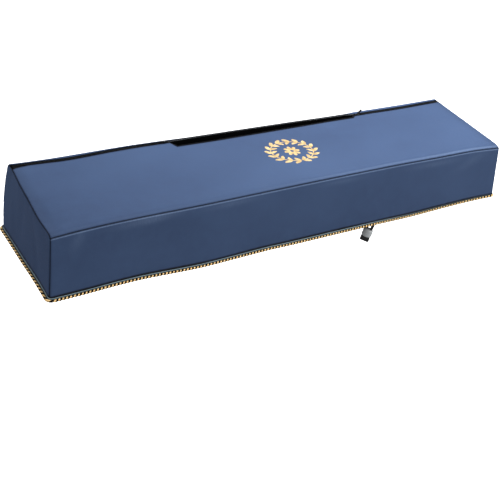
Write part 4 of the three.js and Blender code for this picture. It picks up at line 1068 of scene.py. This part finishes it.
def front_tape(share, lift):
    x, y = lerp(sewn, shown, share).T
    return lifted(x, reach_at(x, y), lift, 0)


def rear_tape(share, lift):
    return lifted(stations, lerp(rear_shown, edge_reach + TAPE_UNDER, share), lift)


tape("zip_tape_front", "zip_front_tape", front_tape)
tape("zip_tape_rear", "zip_rear_tape", rear_tape)

TOOTH_STEP, TOOTH_HALF = 1.5, 0.58
TOOTH_ACROSS = np.array((0, 0.12, 0.88, 1))
TOOTH_HIGH = np.array((0.55, 1.0, 1.0, 0.55)) * COIL_HEIGHT
SHOULDER_HALF, SHOULDER_HIGH = TOOTH_HALF * 0.7, 0.75


def teeth(name, node, place, low, high, count, material=COIL_NYLON):
    """A row of teeth: place(k, along, aside, lift) gives points for the tooth numbers k."""
    k = np.arange(count)
    rings = []
    for share, top_lift in zip(TOOTH_ACROSS, TOOTH_HIGH):
        aside, shoulder = lerp(low, high, share), SHOULDER_HIGH * top_lift
        corners = [(-TOOTH_HALF, 0), (TOOTH_HALF, 0), (SHOULDER_HALF, shoulder), (0, top_lift),
                   (-SHOULDER_HALF, shoulder)]
        rings.append(np.stack([place(k, along, aside, COIL_FOOT + lift) for along, lift in corners], 1))
    tube_object(name, np.stack(rings, 1), material, node)


def closed_row(name, node, start, end):
    def place(k, along, aside, lift):
        x = start + TOOTH_HALF + k * TOOTH_STEP
        return lifted(x + along, reach_at(x, zip_line(x)) + aside, lift, 0)

    teeth(name, node, place, -COIL_WIDTH / 2, COIL_WIDTH / 2, int((end - start) / TOOTH_STEP))


closed_row("zip_teeth_left", "zip_coil_left", -COIL_END, SLIDER_X[0] - SLIDER_ROOM)
closed_row("zip_teeth_right", "zip_coil_right", SLIDER_X[1] + SLIDER_ROOM, COIL_END)

inside = (stations > SLIDER_X[0] + SLIDER_ROOM) & (stations < SLIDER_X[1] - SLIDER_ROOM)
front_line_points = np.c_[path, steps][inside & is_open[:, 0]]
rear_line_points = np.c_[stations, rear_shown][inside]


def at_tooth(points, k):
    """Points of a line at the tooth numbers k."""
    return on_line(k * TOOTH_STEP + TOOTH_HALF, run(points), points)


def tooth_count(points):
    return int(run(points)[-1] / TOOTH_STEP) - 1


def front_place(k, along, aside, lift):
    spot = at_tooth(front_line_points, k + along / TOOTH_STEP)
    x, y = (spot[:, :2] + spot[:, 2:] * aside).T
    return lifted(x, reach_at(x, y), lift, 0)


def rear_place(k, along, aside, lift):
    x, reach = at_tooth(rear_line_points, k + along / TOOTH_STEP).T
    return lifted(x, reach + aside, lift)


teeth("zip_teeth_front", "zip_coil_front", front_place, TAPE_SHOWS - HALF_COIL, TAPE_SHOWS,
      tooth_count(front_line_points))
# The rear row along the opening takes the lighter nylon: painted highlight
teeth("zip_teeth_rear", "zip_coil_rear", rear_place, 0, HALF_COIL, tooth_count(rear_line_points), COIL_PAINTED_HIGHLIGHT)


# Floor and light

FLOOR_Z = -0.885
FLOOR = material_nodes("floor_white").finish(rgb(250, 250, 250), 0.9, Emission_Color=rgb(255, 255, 255),
                                             Emission_Strength=1.0)
bpy.ops.mesh.primitive_plane_add(size=30, location=(0, 0, FLOOR_Z))
floor = bpy.context.object
floor.name = "floor"
floor.data.materials.append(FLOOR)
floor.visible_diffuse = floor.visible_glossy = False

# The sky's way of most light, its range from the far side to there, and its strengths
SKY_WAY, SKY_RANGE, SKY_LIGHT = (0.55, 0, 0.85), (-0.7, 1.1), (0.34, 1.1)
world = bpy.data.worlds.new("studio")
sky = Nodes(world, "Background")
cut = sky.add("ShaderNodeVectorMath", {0: sky.coordinates["Generated"], 1: SKY_WAY}, operation="DOT_PRODUCT")
glow = sky.between(cut.outputs["Value"], *SKY_RANGE, *SKY_LIGHT)
seen = sky.add("ShaderNodeLightPath").outputs["Is Camera Ray"]
sky.put(sky.shader.inputs, {"Strength": sky.math("MAXIMUM", glow, seen), "Color": (1, 1, 1, 1)})
bpy.context.scene.world = world
bpy.context.scene.view_settings.view_transform = "Standard"


def area_light(name, place, target, size, power):
    light = bpy.data.lights.new(name, "AREA")
    light.shape = "RECTANGLE"
    light.size, light.size_y = size
    light.energy = power
    lamp = in_scene(name, light)
    lamp.location = place
    lamp.rotation_euler = (Vector(target) - Vector(place)).to_track_quat("-Z", "Y").to_euler()


area_light("key", (0.45, 0.1, 1.15), (0.45, 0, 0), (1.4, 0.8), 28)
area_light("fill", (1.5, -2.6, 1.0), (0.4, 0, 0), (1.6, 1.2), 40)
